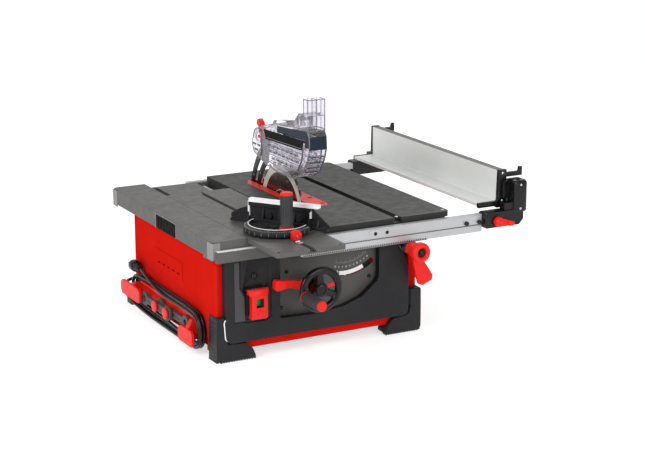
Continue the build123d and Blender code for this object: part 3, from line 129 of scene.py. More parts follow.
# name, colour, roughness, mottle, grain, bump and what else differs from the defaults
ALONG_Z = (1, 1, 40)
FINISHES = (
    ("table_enamel", (49, 48, 47), 0.50, 0.07, 1400, 0.10, {"shine": 0.22}),
    ("casting_enamel", (84, 83, 81), 0.50, 0.06, 1100, 0.18, {"radius": 1.2}),
    ("red_enamel", (190, 24, 15), 0.5, 0.04, 700, 0.04, {"radius": 0.3, "shine": 0.0}),
    ("red_plastic", (218, 26, 16), 0.42, 0.05, 1600, 0.14, {"shine": 0.25}),
    ("charcoal_plastic", (33, 33, 35), 0.46, 0.12, 1300, 0.22, {"edge": 0.18, "radius": 1.0, "shine": 0.2}),
    ("black_plastic", (12, 12, 14), 0.26, 0.15, 1500, 0.10, {"edge": 0.12, "shine": 0.35}),
    ("anodised_aluminium", (176, 177, 179), 0.36, 0.03, 60, 0.05,
     {"metal": 0.35, "streak": ALONG_Z, "radius": 0.4}),
    ("bright_steel", (188, 189, 192), 0.24, 0.05, 90, 0.06,
     {"metal": 0.95, "streak": (1, 1, 12), "radius": 0.3}),
    ("dark_plate", (76, 74, 72), 0.55, 0.12, 420, 0.30, {}),
    ("structural_steel", (110, 112, 115), 0.45, 0.14, 260, 0.18, {"metal": 0.7}),
    ("clear_plastic", (244, 242, 247), 0.05, 0.01, 240, 0.03,
     {"clear": 0.97, "ior": 1.38, "radius": 0.8, "dust": 0.1, "shine": 0.35}),
    ("green_plastic", (20, 140, 48), 0.35, 0.06, 1200, 0.1, {}),
    ("cord_rubber", (9, 9, 10), 0.30, 0.15, 900, 0.12, {"radius": 0.0, "shine": 0.35}),
    ("clear_rim", (176, 171, 186), 0.14, 0.05, 300, 0.05,
     {"clear": 0.5, "ior": 1.40, "radius": 0.0, "dust": 0.2, "shine": 0.5}),
    # smoke is painted shade and dark reflection in the clear guard, not a tint of the plastic
    ("smoke", (92, 88, 100), 0.2, 0.2, 300, 0.05,
     {"clear": 0.5, "ior": 1.3, "radius": 0.0, "dust": 0.2, "shine": 0.5}),
    # The blade is dark steel; the warm red in its colour is a painted reflection of the red parts round it
    ("blade_steel", (120, 104, 98), 0.22, 0.12, 70, 0.05, {"metal": 1.0, "streak": (1, 9, 9), "radius": 0.2}),
    # Pale steel for the blade's rings: a painted reflection on the wide outer band, a real ring mark on the
    # thin inner one
    ("ground_steel", (205, 200, 192), 0.35, 0.08, 160, 0.10,
     {"metal": 0.25, "streak": (1, 6, 6), "radius": 0.0}),
    ("carbide", (120, 120, 124), 0.22, 0.08, 500, 0.08, {"metal": 0.9, "radius": 0.2}),
    ("knife_black", (12, 11, 10), 0.40, 0.12, 500, 0.1, {"metal": 0.1}),
    ("white_print", (232, 232, 230), 0.45, 0.03, 1500, 0.05, {"radius": 0.0}),
    ("grey_print", (150, 150, 148), 0.5, 0.04, 1500, 0.05, {"radius": 0.0}),
    ("navy_label", (28, 38, 54), 0.42, 0.06, 1300, 0.05, {"shine": 0.15}),
    ("black_label", (7, 7, 11), 0.5, 0.08, 1300, 0.05, {"shine": 0.06}),
    # dark_gap is painted shade: near-black fillers behind the tilt and vent slots, in the grip recess and in
    # the rack notches, where shade falls
    ("dark_gap", (9, 9, 10), 0.75, 0.2, 600, 0.1, {"radius": 0.0}),
    ("strip_grey", (66, 66, 68), 0.5, 0.08, 900, 0.15, {"shine": 0.25}),
    ("grip_grey", (54, 54, 56), 0.62, 0.10, 1700, 0.30, {}),
    ("fence_face", (222, 224, 221), 0.42, 0.03, 60, 0.05, {"metal": 0.1, "streak": ALONG_Z, "radius": 0.4}),
    ("fence_top", (98, 98, 97), 0.45, 0.05, 80, 0.05,
     {"metal": 0.15, "streak": (40, 1, 1), "radius": 0.0}),
    # pale_edge is the white of the mitre bar, strips and marks, and also the paint of the painted highlights
    # on the carriage bed, fascia corner and protractor rim
    ("pale_edge", (236, 237, 238), 0.36, 0.04, 900, 0.06, {}),
    ("pale_grey", (136, 135, 133), 0.42, 0.05, 900, 0.08, {}),
)
look = {name: finish(name, *rest, **extras) for name, *rest, extras in FINISHES}
for obj in cad.values():
    coats = obj.data.materials
    for i, coat in enumerate(list(coats)):
        coats[i] = look.get(coat.name.split(".")[0], look["structural_steel"])
    if not coats:
        coats.append(look["structural_steel"])


def repaint(node, name):
    """Gives a CAD piece that stays in the picture another finish."""
    coats = cad[node].data.materials
    for i in range(len(coats)):
        coats[i] = look[name]


# ---------------------------------------------------------------- shape building

def at(x, y, h):
    """A point in metres from millimetres, its height measured from the table top."""
    return Vector((x, y, h + TABLE_TOP)) / 1000


def z(h):
    """A height above the floor as one above the table top."""
    return h - TABLE_TOP


AXES = {"x": (1, 2, 0), "y": (0, 2, 1), "z": (0, 1, 2)}


def across(axis, a, b, t):
    """Millimetres (x, y, h) from the two cross coordinates a and b and the position t along the axis."""
    out = [0, 0, 0]
    i, j, k = AXES[axis]
    out[i], out[j], out[k] = a, b, t
    return out


def along(axis, a, b, t):
    """The same point in metres."""
    return at(*across(axis, a, b, t))


def around(p, direction, radius, sides):
    """A ring of points in metres about p, square to the direction, its radius in millimetres."""
    side = direction.orthogonal().normalized()
    other = direction.cross(side)
    return [p + (side * cos(t) + other * sin(t)) * radius / 1000
            for t in (2 * pi * i / sides for i in range(sides))]


def rect(x0, y0, x1, y1):
    """The corners of a rectangle."""
    return [(x0, y0), (x1, y0), (x1, y1), (x0, y1)]


def polar(centre, radius, angle):
    """The point at an angle in degrees round a centre."""
    a = radians(angle)
    return centre[0] + radius * cos(a), centre[1] + radius * sin(a)


def looped(points):
    """The points with the first one again at the end."""
    return points + points[:1]


class Shape:
    """Closed solids gathered into one piece."""

    def __init__(self):
        self.bm = bmesh.new()

    def verts(self, points):
        return [self.bm.verts.new(p) for p in points]

    def hull(self, points):
        made = bmesh.ops.convex_hull(self.bm, input=self.verts(points))
        spare = [g for g in made["geom_interior"] + made["geom_unused"] if isinstance(g, bmesh.types.BMVert)]
        bmesh.ops.delete(self.bm, geom=list(set(spare)), context="VERTS")
        return self

    def block(self, x, y, h):
        corners = self.verts(at(a, b, c) for a in x for b in y for c in h)
        for f in ((0, 1, 3, 2), (4, 6, 7, 5), (0, 4, 5, 1), (2, 3, 7, 6), (0, 2, 6, 4), (1, 5, 7, 3)):
            self.bm.faces.new([corners[i] for i in f])
        return self

    def drawn(self, near, far):
        """The solid between two outlines that match point for point."""
        near, far = self.verts(near), self.verts(far)
        self.bm.faces.new(near)
        self.bm.faces.new(far[::-1])
        n = len(near)
        for i in range(n):
            self.bm.faces.new((near[i], far[i], far[(i + 1) % n], near[(i + 1) % n]))
        return self

    def prism(self, outline, axis, low, high, radius=0.0):
        """An outline in the plane across the axis, its corners rounded, drawn from low to high along it."""
        outline = rounded(outline, radius) if radius else outline
        return self.drawn(*([along(axis, a, b, t) for a, b in outline] for t in (low, high)))

    def loft(self, loops):
        """Skin over rings of points, closed at both ends."""
        rings = [self.verts(loop) for loop in loops]
        for a, b in zip(rings, rings[1:]):
            for i in range(len(a)):
                j = (i + 1) % len(a)
                self.bm.faces.new((a[i], b[i], b[j], a[j]))
        self.bm.faces.new(rings[0])
        self.bm.faces.new(rings[-1][::-1])
        return self

    def sections(self, axis, levels, radius=0.0):
        """Outlines at positions along the axis, skinned into one solid."""
        return self.loft([[along(axis, a, b, t) for a, b in (rounded(line, radius) if radius else line)]
                          for t, line in levels])

    def lathe(self, profile, centre, axis, sides=48, closed=False, start=0.0, sweep=360.0):
        """Turns (radius, position) points about an axis through centre, given by its cross coordinates."""
        full = sweep >= 360
        count = sides if full else sides + 1
        rings = []
        for r, t in profile:
            turns = [start + sweep * i / sides for i in range(count)] if r > 1e-6 else [0]
            rings.append(self.verts(along(axis, *polar(centre, r, a), t) for a in turns))
        for a, b in list(zip(rings, rings[1:])) + ([(rings[-1], rings[0])] if closed else []):
            for i in range(count if full else count - 1):
                j = (i + 1) % count
                if len(a) == 1 and len(b) == 1:
                    continue
                if len(a) == 1:
                    self.bm.faces.new((a[0], b[i], b[j]))
                elif len(b) == 1:
                    self.bm.faces.new((a[i], b[0], a[j]))
                else:
                    self.bm.faces.new((a[i], b[i], b[j], a[j]))
        if not closed and full:
            for ring, step in ((rings[0], 1), (rings[-1], -1)):
                if len(ring) > 1:
                    self.bm.faces.new(ring[::step])
        if closed and not full:
            for i in (0, count - 1):
                self.bm.faces.new([ring[i] for ring in rings])
        return self

    def ring(self, centre, axis, outer, inner, low, high, sides=64, ease=0.0):
        e = ease
        profile = [(inner, low + e), (inner + e, low), (outer - e, low), (outer, low + e), (outer, high - e),
                   (outer - e, high), (inner + e, high), (inner, high - e)] if e else \
                  [(inner, low), (outer, low), (outer, high), (inner, high)]
        return self.lathe(profile, centre, axis, sides, True)

    def disc(self, centre, axis, radius, low, high, sides=40, ease=0.0):
        e = ease
        profile = [(radius - e, low), (radius, low + e), (radius, high - e), (radius - e, high)] if e else \
                  [(radius, low), (radius, high)]
        return self.lathe(profile, centre, axis, sides)

    def rod(self, a, b, radius, sides=8):
        """A round bar between two points in millimetres."""
        a, b = at(*a), at(*b)
        direction = (b - a).normalized()
        return self.loft([around(p, direction, radius, sides) for p in (a, b)])

    def trace(self, axis, t, line, radius, sides=8, skip=0.0):
        """Round bars end to end along a line in the plane across the axis at t, but none as short as skip."""
        for a, b in zip(line, line[1:]):
            if (Vector(a) - Vector(b)).length > skip:
                self.rod(across(axis, *a, t), across(axis, *b, t), radius, sides)
        return self

    def mirrored(self, x):
        """Adds the same solids on the other side of the plane at x."""
        twin = self.bm.copy()
        for v in twin.verts:
            v.co.x = 2 * x / 1000 - v.co.x
        mesh = bpy.data.meshes.new("twin")
        twin.to_mesh(mesh)
        self.bm.from_mesh(mesh)
        bpy.data.meshes.remove(mesh)
        return self


def solid(shape, name="tool"):
    mesh = bpy.data.meshes.new(name)
    bmesh.ops.recalc_face_normals(shape.bm, faces=shape.bm.faces)
    shape.bm.to_mesh(mesh)
    obj = bpy.data.objects.new(name, mesh)
    bpy.context.scene.collection.objects.link(obj)
    return obj


def flattened(obj):
    """The object's evaluated mesh."""
    bpy.context.view_layer.update()
    return bpy.data.meshes.new_from_object(obj.evaluated_get(bpy.context.evaluated_depsgraph_get()))


def carve(obj, tools):
    """Cuts the tools' solids out of the piece."""
    for tool in tools:
        cut = obj.modifiers.new("cut", "BOOLEAN")
        cut.operation, cut.solver, cut.use_self = "DIFFERENCE", "EXACT", True
        cut.object = tool
    flat = flattened(obj)
    obj.modifiers.clear()
    obj.data = flat
    for tool in tools:
        bpy.data.objects.remove(tool)


def piece(name, shape, material, body="saw", stands_for=(), bevel=0.0, steps=2, cuts=()):
    """Turns a shape into a finished piece that rides on a body."""
    obj = solid(shape, name)
    if cuts:
        carve(obj, [solid(c) for c in cuts])
    mesh = obj.data
    mesh.materials.clear()
    mesh.materials.append(look[material])
    for polygon in mesh.polygons:
        polygon.use_smooth = True
    mesh.set_sharp_from_angle(angle=CREASE)
    if bevel:
        b = obj.modifiers.new("rounded", "BEVEL")
        b.width = bevel / 1000
        b.segments = steps
        b.limit_method = "ANGLE"
        b.angle_limit = CREASE
        b.harden_normals = True
        b.use_clamp_overlap = True
    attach(obj, body)
    if stands_for:
        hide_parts(*stands_for)
    return obj


def arc(centre, radius, start, end, count=12):
    """Points on an arc, angles in degrees."""
    return [polar(centre, radius, start + (end - start) * i / count) for i in range(count + 1)]


def rounded(outline, radius, count=5):
    """The outline with its corners rounded. A corner may give its own radius as a third number."""
    out = []
    n = len(outline)
    for i in range(n):
        p = Vector(outline[i][:2])
        r = outline[i][2] if len(outline[i]) > 2 else radius
        a, b = Vector(outline[i - 1][:2]) - p, Vector(outline[(i + 1) % n][:2]) - p
        half = a.angle(b) / 2
        if r < 0.05 or half > radians(89.95):
            out.append(tuple(p))
            continue
        reach = min(r / tan(half), a.length * 0.48, b.length * 0.48)
        start, end = p + a.normalized() * reach, p + b.normalized() * reach
        for k in range(count + 1):
            t = k / count
            out.append(tuple((1 - t) ** 2 * start + 2 * t * (1 - t) * p + t * t * end))
    return out


def screw(shape, centre, y, radius=5.0, proud=2.0):
    """A domed screw head facing -y, with a socket."""
    return shape.lathe([(0, y + 1.0), (radius, y + 1.0), (radius, y - proud * 0.4),
                        (radius * 0.8, y - proud), (radius * 0.42, y - proud),
                        (radius * 0.36, y - proud * 0.35), (0, y - proud * 0.35)], centre, "y", 24)


# ---------------------------------------------------------------- camera, light, floor

camera = bpy.data.objects.new("camera", bpy.data.cameras.new("camera"))
bpy.context.scene.collection.objects.link(camera)
camera.data.lens = 94.7
camera.data.sensor_width = 36.0
forward, right = Vector((0.4568, 0.8515, -0.2574)).normalized(), Vector((0.8812, -0.4727,
    0)).normalized()
up = right.cross(forward)
camera.matrix_world = Matrix.Translation((-1.8848, -3.8325, 1.355)) @ Matrix(((right.x, up.x,
    -forward.x, 0), (right.y, up.y, -forward.y, 0), (right.z, up.z, -forward.z, 0), (0, 0, 0, 1)))
camera.data.clip_start, camera.data.clip_end = 0.05, 60
bpy.context.scene.camera = camera
bpy.context.scene.view_settings.view_transform = "Standard"

world = bpy.data.worlds.new("studio")
bpy.context.scene.world = world
world.use_nodes = True
background = world.node_tree.nodes["Background"].inputs
background["Color"].default_value = (1.0, 1.0, 1.0, 1)
background["Strength"].default_value = SURROUNDING_LIGHT


def lamp(name, place, target, size, power):
    light = bpy.data.lights.new(name, "AREA")
    light.shape = "RECTANGLE"
    light.size, light.size_y = size
    light.energy = power
    obj = bpy.data.objects.new(name, light)
    bpy.context.scene.collection.objects.link(obj)
    obj.location = place
    obj.rotation_mode = "QUATERNION"
    obj.rotation_quaternion = (Vector(target) - Vector(place)).to_track_quat("-Z", "Y")


lamp("key", (-2.6, -1.2, 1.9), (0, 0, 0.2), (1.2, 1.4), 52)
lamp("front", (0.6, -3.0, 1.3), (0.1, 0, 0.2), (1.6, 1.0), 26)
lamp("rim", (1.6, 2.2, 2.2), (0.1, 0, 0.3), (2.4, 0.8), 22)

floor_shape = Shape()
floor_shape.bm.faces.new(floor_shape.verts((x, y, -0.0005) for x, y in rect(-30, -30, 30, 60)))
floor = solid(floor_shape, "floor")
paper = finish("floor_paper", (205, 205, 205), 0.95, 0.004, 40, 0.01, radius=0.0)
sheen = paper.node_tree.nodes["Principled BSDF"].inputs
sheen["Emission Color"].default_value = (1, 1, 1, 1)
sheen["Emission Strength"].default_value = SURROUNDING_LIGHT
floor.data.materials.append(paper)


# ---------------------------------------------------------------- power cord

CORD_RADIUS = 4.25
ROUTE = [(-215, 284, 62), (-258, 288, 58), (-298, 264, 48), (-302, 212, 31), (-294, 162, 17)]
HANK_MIDDLE = 59.0
REAR_TURN, FRONT_TURN = 148.0, -204.0
RELIEF_LENGTH = 0.042

# Each run of the hank as (position or angle, x, radius): bottoms and tops by y, ends by angle.
HANK = (
    ("bottom", (100, -294.8, 45), (10, -294.6, 46.5), (-90, -295.4, 45), (-170, -296, 46)),
    ("front", (252, -296.5, 48), (216, -297.5, 50), (180, -297.5, 51), (144, -297, 50), (108, -296, 48)),
    ("top", (-150, -295.4, 47), (-60, -295.6, 46.5), (40, -295.5, 47.2), (110, -295.3, 47)),
    ("rear", (68, -295.2, 47.5), (34, -294.6, 48), (0, -292, 48.4), (-36, -288, 48.6), (-68, -285.9, 48.4)),
    ("bottom", (110, -285.8, 48.4), (20, -285.8, 49), (-80, -285.9, 48.2), (-160, -286.2, 48.6)),
    ("front", (250, -286.8, 49), (214, -287.4, 47.5), (178, -287.6, 45.5), (146, -287, 46),
     (110, -286.4, 47)),
    ("top", (-140, -286.2, 47.4), (-50, -286.0, 47), (50, -286.2, 47.4), (118, -286.1, 46.6)),
    ("rear", (66, -286, 45), (32, -286, 43), (0, -286, 40.6), (-34, -285.9, 39.8), (-66, -285.8, 39.6)),
    ("bottom", (104, -285.8, 39.6), (8, -285.9, 39.8), (-88, -285.8, 39.4), (-166, -286, 39.6)),
    ("front", (252, -286.2, 39.8), (214, -286.6, 38.2), (180, -287, 36.8), (146, -286.8, 37.2),
     (110, -286.4, 38.2)),
    ("top", (-144, -286.2, 38.6), (-44, -286.0, 38.2), (56, -286.0, 38.4), (116, -286, 37.6)),
    ("rear", (68, -286, 36.4), (36, -286, 34), (0, -286, 32), (-34, -285.8, 31), (-66, -285.8, 30.8)),
    ("bottom", (96, -285.8, 30.8), (0, -287.5, 30.9), (-90, -292.5, 31.4), (-170, -295.8, 34.5)),
    ("front", (250, -297, 39), (214, -298, 41), (180, -298.5, 41.6), (146, -298, 41), (108, -297, 39.4)),
    ("top", (-150, -296.2, 38.2), (-66, -297.5, 38), (-10, -302.5, 42)),
)
line = list(ROUTE)
for kind, *stations in HANK:
    for where, x, r in stations:
        if kind in ("bottom", "top"):
            line.append((x, where, HANK_MIDDLE + (r if kind == "top" else -r)))
        else:
            line.append((x, *polar((FRONT_TURN if kind == "front" else REAR_TURN, HANK_MIDDLE), r,
                where)))
line += [(-304.2, 36, 112), (-302, 84, 123), (-299, 112, 127.6), (-299, 130, 128)]


def cord_curve(name):
    """The cord's spline through the line above."""
    curve = bpy.data.curves.new(name, "CURVE")
    curve.dimensions = "3D"
    curve.resolution_u = 8
    spline = curve.splines.new("NURBS")
    spline.points.add(len(line) - 1)
    for point, p in zip(spline.points, line):
        point.co = (p[0] / 1000, p[1] / 1000, p[2] / 1000, 1)
    spline.order_u = 3
    spline.use_endpoint_u = True
    obj = bpy.data.objects.new(name, curve)
    bpy.context.scene.collection.objects.link(obj)
    return obj


cord = cord_curve("power_cord")
cord.data.bevel_depth = CORD_RADIUS / 1000
cord.data.bevel_resolution = 5
cord.data.use_fill_caps = True
cord.data.materials.append(look["cord_rubber"])
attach(cord, "saw")
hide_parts("cord_tube", "cord_coil")

holder = cord_curve("centreline")
followed = flattened(holder)
track = [v.co.copy() for v in followed.vertices]
bpy.data.objects.remove(holder)
bpy.data.meshes.remove(followed)
steps = list(zip(track, track[1:]))

relief_loops, walked = [], 0.0
for a, b in steps:
    if walked > RELIEF_LENGTH:
        break
    radius = 8.0 - 3.3 * (walked / RELIEF_LENGTH) - (0.55 if len(relief_loops) % 2 else 0.0)
    relief_loops.append(around(a, (b - a).normalized(), radius, 20))
    walked += (b - a).length
relief = piece("strain_relief", Shape().loft(relief_loops), "black_plastic")

plug = Shape().lathe([(0, 126), (6, 126), (8.5, 129), (8.6, 132), (7.6, 133.2), (9.4, 134.5),
    (9.6, 138), (8.6, 139.2), (10.6, 140.5), (11, 147), (14.6, 151), (15, 156), (15, 170), (14, 174),
    (12.5, 176), (0, 176)], (-299, z(128)), "y", 40)
for x in (-303, -295):
    plug.prism(rect(x - 1.6, z(125), x + 1.6, z(131)), "y", 175, 194.5)
plug_piece = piece("plug_body", plug, "black_plastic", bevel=0.3, stands_for=("cord_plug",))


# ---------------------------------------------------------------- feet and frame

def pillar(shape, s, radius, levels):
    """Rounded outlines at heights above the floor, skinned on the side s."""
    return shape.loft([[at(s * a, b, z(h)) for a, b in (rounded(line, radius) if radius else line)]
        for h, line in levels])


def bolted_ear(name, s, y, y0, y1, radius):
    """A flat foot with a bolt hole at y."""
    ear = pillar(Shape(), s, radius, [(h, rect(219, y0, 261, y1)) for h in (0.4, 19)])
    bolt = Shape().disc((s * 236, y), "z", 4.5, -TABLE_TOP - 2, z(22), 24)
    piece(name, ear, "charcoal_plastic", bevel=0.8, cuts=[bolt])


for s, side in SIDES:
    # front boot: a ribbed sleeve round the post, and a toe that curves out to a toothed lip
    inner = 254.5 if s > 0 else 264.0
    boot = Shape()
    face = rounded([(181, 7, 2), (189, 26, 12), (204, 42, 10), (inner - 6, 46.4, 26 if s > 0 else 1),
        (inner, 70, 12), (inner, 113, 2), (284.5, 113, 4), (285.7, 60, 10), (285.7, 8, 16),
        (276, 3.2, 6), (184, 3.2, 2)], 6)

    def drawn_in(y, e):
        """The face's outline at y, drawn in by e."""
        middle = Vector((250, 40))
        points = [Vector(p) + (middle - Vector(p)).normalized() * e for p in face]
        return [at(s * q.x, y, z(q.y)) for q in points]

    boot.loft([drawn_in(-317.8, 2.2), drawn_in(-317.8 + 0.8, 2.2 * 0.35), drawn_in(-315.4, 0.0)])
    boot.loft([drawn_in(-315.6, 0.0), drawn_in(-300, 0.0)])
    pillar(boot, s, 5, [(h, rect(x_in, -267, x_out, -306)) for h, x_in,
        x_out in ((3, 280.2, 285.4), (60, 280.2, 285.2), (104, 280.2, 284.0), (113, 280.6, 282.4))])
    for h in range(22, 100, 11):
        pillar(boot, s, 0, [(h + dh, rect(283.6, -268, 284.6 + grow, -312)) for dh,
            grow in ((-3.4, -0.8), (0, 1.3), (3.4, -0.8))])
    pillar(boot, s, 6, [(h, [(toe + 4, -267), (285.4, -267), (285.4, -316), (toe, -316)]) for h,
        toe in ((3, 182), (9, 182), (16, 186), (22, 192), (25, 198))])
    teeth = Shape()
    for k in range(14):
        x = 184.5 + 6.9 * k
        pillar(teeth, s, 0, [(h, [(x - w, -300), (x - w, -317.8), (x + w, -317.8), (x + w, -300)])
            for h, w in ((0.2, 1.4), (4.5, 2.3))])
    for y in range(-310, -269, 8):
        teeth.block([s * 279, s * 285.5], (y - 2.2, y + 2.2), (z(0.2), z(5)))
    teeth.block([s * 190, s * 280], (-299, -269), (z(0.2), z(4)))
    piping = [(s * (a + 2.4), z(b - 2.6)) for a, b in face[len(face) // 7:len(face) // 2]]
    teeth.trace("y", -317.4, piping, 0.7)
    piece("front_boot_" + side, boot, "charcoal_plastic", bevel=0.7, stands_for=("front_feet",))
    piece("front_tread_" + side, teeth, "charcoal_plastic", bevel=0.3)
    bolted_ear("front_ear_" + side, s, -214, -199, -272, 9)

for s, side in SIDES:
    foot = Shape()
    pillar(foot, s, 6, [(h, rect(inner, 225, 285.6, 263.5)) for h,
        inner in ((0.3, 181), (6, 181), (14, 186), (24.5, 200))])
    pillar(foot, s, 6, [(h, rect(262, 226, 285.4 - lean, 263 - lean)) for h,
        lean in ((20, 0), (36, 0.8), (46.8, 2))])
    for h in (12, 22, 32):
        foot.block([s * 283, s * 285.9], (230, 258), (z(h), z(h + 3.5)))
    piece("rear_boot_" + side, foot, "charcoal_plastic", bevel=0.9, stands_for=("rear_feet",))
    bolted_ear("rear_ear_" + side, s, 214, 199, 232, 8)


# ---------------------------------------------------------------- front panel

OUTLINE = [(-262, -47, 2), (200, -47, 4), (236, -104, 30), (246, -150, 20), (246, -258, 16),
    (-262, -258, 20)]
fascia = Shape().prism(OUTLINE, "y", -319.6, -300.4, 6)
opening = Shape().prism([(-118, -44), (161, -44), (161, -152, 30), (112, -192, 60), (60, -209, 40),
    (-10, -217, 30), (-118, -214, 8)], "y", -330, -290, 8)
recess = Shape().prism(rect(-214, -118, -149, -212), "y", -330, -315, 4)
niche = Shape().sections("y", (
    (-326, [(-203, -54), (-141, -54), (-137, -208), (-206, -208), (-208, -150), (-220, -128)]),
    (-319, [(-203, -56), (-142, -56), (-139, -207), (-205, -207), (-207, -151), (-218, -129)]),
    (-316.5, [(-200, -59), (-145, -59), (-142, -204), (-202, -204), (-204, -152), (-214, -131)])))
strip_cut = Shape().prism([(-240, -56), (-222, -56), (-222, -125), (-209, -148), (-208, -209),
    (-240, -209)], "y", -330, -317.5)
button_hole = Shape().block((-193, -169), (-330, -290), (-173, -145))
piece("front_fascia", fascia, "charcoal_plastic", bevel=1.6, steps=3, stands_for=("front_panel",),
    cuts=[opening, niche, strip_cut, recess, button_hole])
strip = Shape().sections("y", (
    (-316.8, [(-238.5, -58), (-224.5, -58), (-224, -124), (-211, -147), (-210, -207), (-238.5, -207)]),
    (-318.4, [(-238, -59), (-225, -59), (-225, -124.5), (-212, -147.5), (-211, -206), (-238, -206)])))
piece("panel_strip", strip, "strip_grey", bevel=0.4)
inner_edge = rounded([(-118, -46), (-118, -214, 8), (-10, -217, 30), (60, -209, 40), (112, -192, 60),
    (161, -152, 30), (161, -46)], 8)
lip = Shape().trace("y", -318.6, inner_edge, 1.8, 10, skip=0.5)
piece("window_lip", lip, "black_plastic")
edge_line = rounded([(168, -60), (206, -66), (226, -108), (233, -150), (233, -196), (196, -206)], 26)
contour = Shape().trace("y", -318.9, edge_line, 1.3)
piece("panel_contour", contour, "charcoal_plastic")
boss = Shape().ring((-183, -98.5), "y", 9.5, 6.2, -319.6, -315, 40, ease=0.7)
boss.lathe([(0, -315), (6.0, -315), (6.0, -318.2), (4.4, -319.4), (0, -319.9)], (-183, -98.5), "y", 32)
piece("reset_button", boss, "black_plastic")
# Painted highlight: a near-white line along the fascia's rounded lower left corner, where it meets the boot
corner_highlight_line = rounded([(-262.5, -196), (-266, -204), (-262.8, -246, 8), (-250, -257)], 5)
sliver = Shape().trace("y", -317.6, corner_highlight_line, 1.5, 10)
piece("boot_seam", sliver, "pale_edge")

# bevel scale plate and its arc slot
plate = Shape().prism([(-122.5, -46.5), (165.5, -46.5), (165.5, -154, 30), (114, -195.5, 60),
    (60, -213.5, 40), (-10, -221, 30), (-122.5, -218.5, 8)], "y", -299.8, -297.2, 8)
TILT, SLOT_RADIUS, SLOT_WIDTH = (73, 0), 130.0, 14.0
PLATE_TOP = -48
slot_loop = arc(TILT, SLOT_RADIUS + SLOT_WIDTH / 2, -103, -55, 24) + \
    arc(polar(TILT, SLOT_RADIUS, -55), SLOT_WIDTH / 2, -55, 125, 8)[1:] + \
    arc(TILT, SLOT_RADIUS - SLOT_WIDTH / 2, -55, -103, 24)[1:] + \
    arc(polar(TILT, SLOT_RADIUS, -103), SLOT_WIDTH / 2, 77, 257, 8)[1:-1]
window = Shape().prism(slot_loop, "y", -303, -294)
shaft_gap = Shape().disc((-36, -136), "y", 12, -303, -294, 32)
piece("scale_plate", plate, "dark_plate", bevel=0.4, cuts=[window, shaft_gap],
    stands_for=("bevel_plate",))
marks = Shape()
for k in range(10):
    x, h = polar(TILT, SLOT_RADIUS - 17, -104 + 5.3 * k)
    if h < PLATE_TOP and x < 158:
        marks.disc((x, h), "y", 2.0 if k % 3 else 2.7, -300.15, -299.7, 16)
for k in range(34):
    tick = [polar(TILT, SLOT_RADIUS - d, -104 + 1.5 * k) for d in (26, 30 if k % 5 else 34)]
    if max(h for x, h in tick) < PLATE_TOP:
        marks.trace("y", -299.9, tick, 0.35, 6)
piece("scale_marks", marks, "grey_print")
honeycomb = Shape()
for row in range(12):
    for col in range(28):
        x, h = -116 + 6.6 * col + (3.3 if row % 2 else 0), -211 + 5.7 * row
        if x + h < -232 + 1.3 * row and x < 60 or (x > 118 and x < 158 and h > -168 and x - h > 282):
            if not any((x - a) ** 2 + (h - b) ** 2 < 80 for a, b in ((-104, -194), (142, -146))):
                honeycomb.disc((x, h), "y", 2.5, -300.05, -299.7, 6)
piece("plate_pattern", honeycomb, "dark_plate")
screws = Shape()
for x, h in ((-89, -104), (-104, -194), (142, -146), (142, -67)):
    screw(screws, (x, h), -299.8, 5.0, 2.6)
piece("plate_screws", screws, "black_plastic")
# tilt_shade is painted shade: a near-black arc behind the end of the slot, where the inside of the saw lies
# in shadow
for name, coat, slot, reach, a, b, count in (
        ("tilt_band", "white_print", "bright_steel", 5.2, -96, -66, 20),
        ("tilt_shade", "dark_gap", "black_plastic", 7.6, -66, -56, 10)):
    band = arc(TILT, SLOT_RADIUS + reach, a, b, count) + arc(TILT, SLOT_RADIUS - reach, b, a, count)
    piece(name, Shape().prism(band, "y", -296.4, -294.6), coat, body="tilt", bevel=0.2)


# ---------------------------------------------------------------- hand wheel, grip and bevel lever

WHEEL = (-36, -136)
wheel = Shape()
rim = [(48.2 + 9.2 * cos(a), -378 + 7.9 * sin(a)) for a in (2 * pi * k / 20 for k in range(20))]
wheel.lathe(rim, WHEEL, "y", 72, closed=True)
for turn in (95, 215, 335):
    a = radians(turn)
    n = (-sin(a), cos(a))
    loops = []
    for r, half, front_y, back_y in ((12, 10.5, -384, -368), (26, 8.0, -382.5, -371),
            (44, 8.5, -382, -373)):
        x, h = polar(WHEEL, r, turn)
        loops.append([at(x + n[0] * half * u, y, h + n[1] * half * u) for u,
            y in ((-1, back_y), (1, back_y), (1, front_y + 2), (0.72, front_y), (-0.72, front_y),
            (-1, front_y + 2))])
    wheel.loft(loops)
wheel.lathe([(0, -350), (14, -350), (17, -356), (17, -383), (15, -386.5), (9.5, -388), (9.0, -385.5),
    (0, -385.5)], WHEEL, "y", 48)
wheel.lathe(rect(0, -350, 7, -240.5), WHEEL, "y", 24)
wheel.lathe([(0, -385), (4.6, -385), (4.6, -387.2), (0, -387.4)], WHEEL, "y", 6)
piece("hand_wheel", wheel, "black_plastic", body="wheel", bevel=0.5, stands_for=("handwheel",))
wedge = Shape().prism([polar(WHEEL, 20 * s, t) for s, t in ((0.85, 2), (2.0, 8), (2.02, 22),
    (0.85, 34))], "y", -378.5, -376)
piece("wheel_pointer", wedge, "red_plastic", body="wheel", bevel=0.3)
GRIP = (-83.7, -145.3)
grip = Shape().lathe([(0, -389), (11.6, -389), (13.4, -391.5), (14.6, -400), (14.4, -418), (14.0, -440),
    (14.4, -458), (14.2, -467), (13.2, -471.4), (0, -471.4)], GRIP, "y", 48)
piece("grip_body", grip, "grip_grey", body="wheel_grip", bevel=0.4,
    stands_for=("crank_grip",))
caps = Shape().lathe([(0, -387.2), (10.5, -387.2), (13.9, -388.6), (13.9, -391.6), (11, -392.4),
    (0, -392.4)], GRIP, "y", 48)
caps.lathe([(0, -470.8), (12.8, -470.8), (12.6, -474), (11.2, -476.4), (6, -477.5), (0, -477.8)], GRIP,
    "y", 40)
piece("grip_caps", caps, "red_plastic", body="wheel_grip")

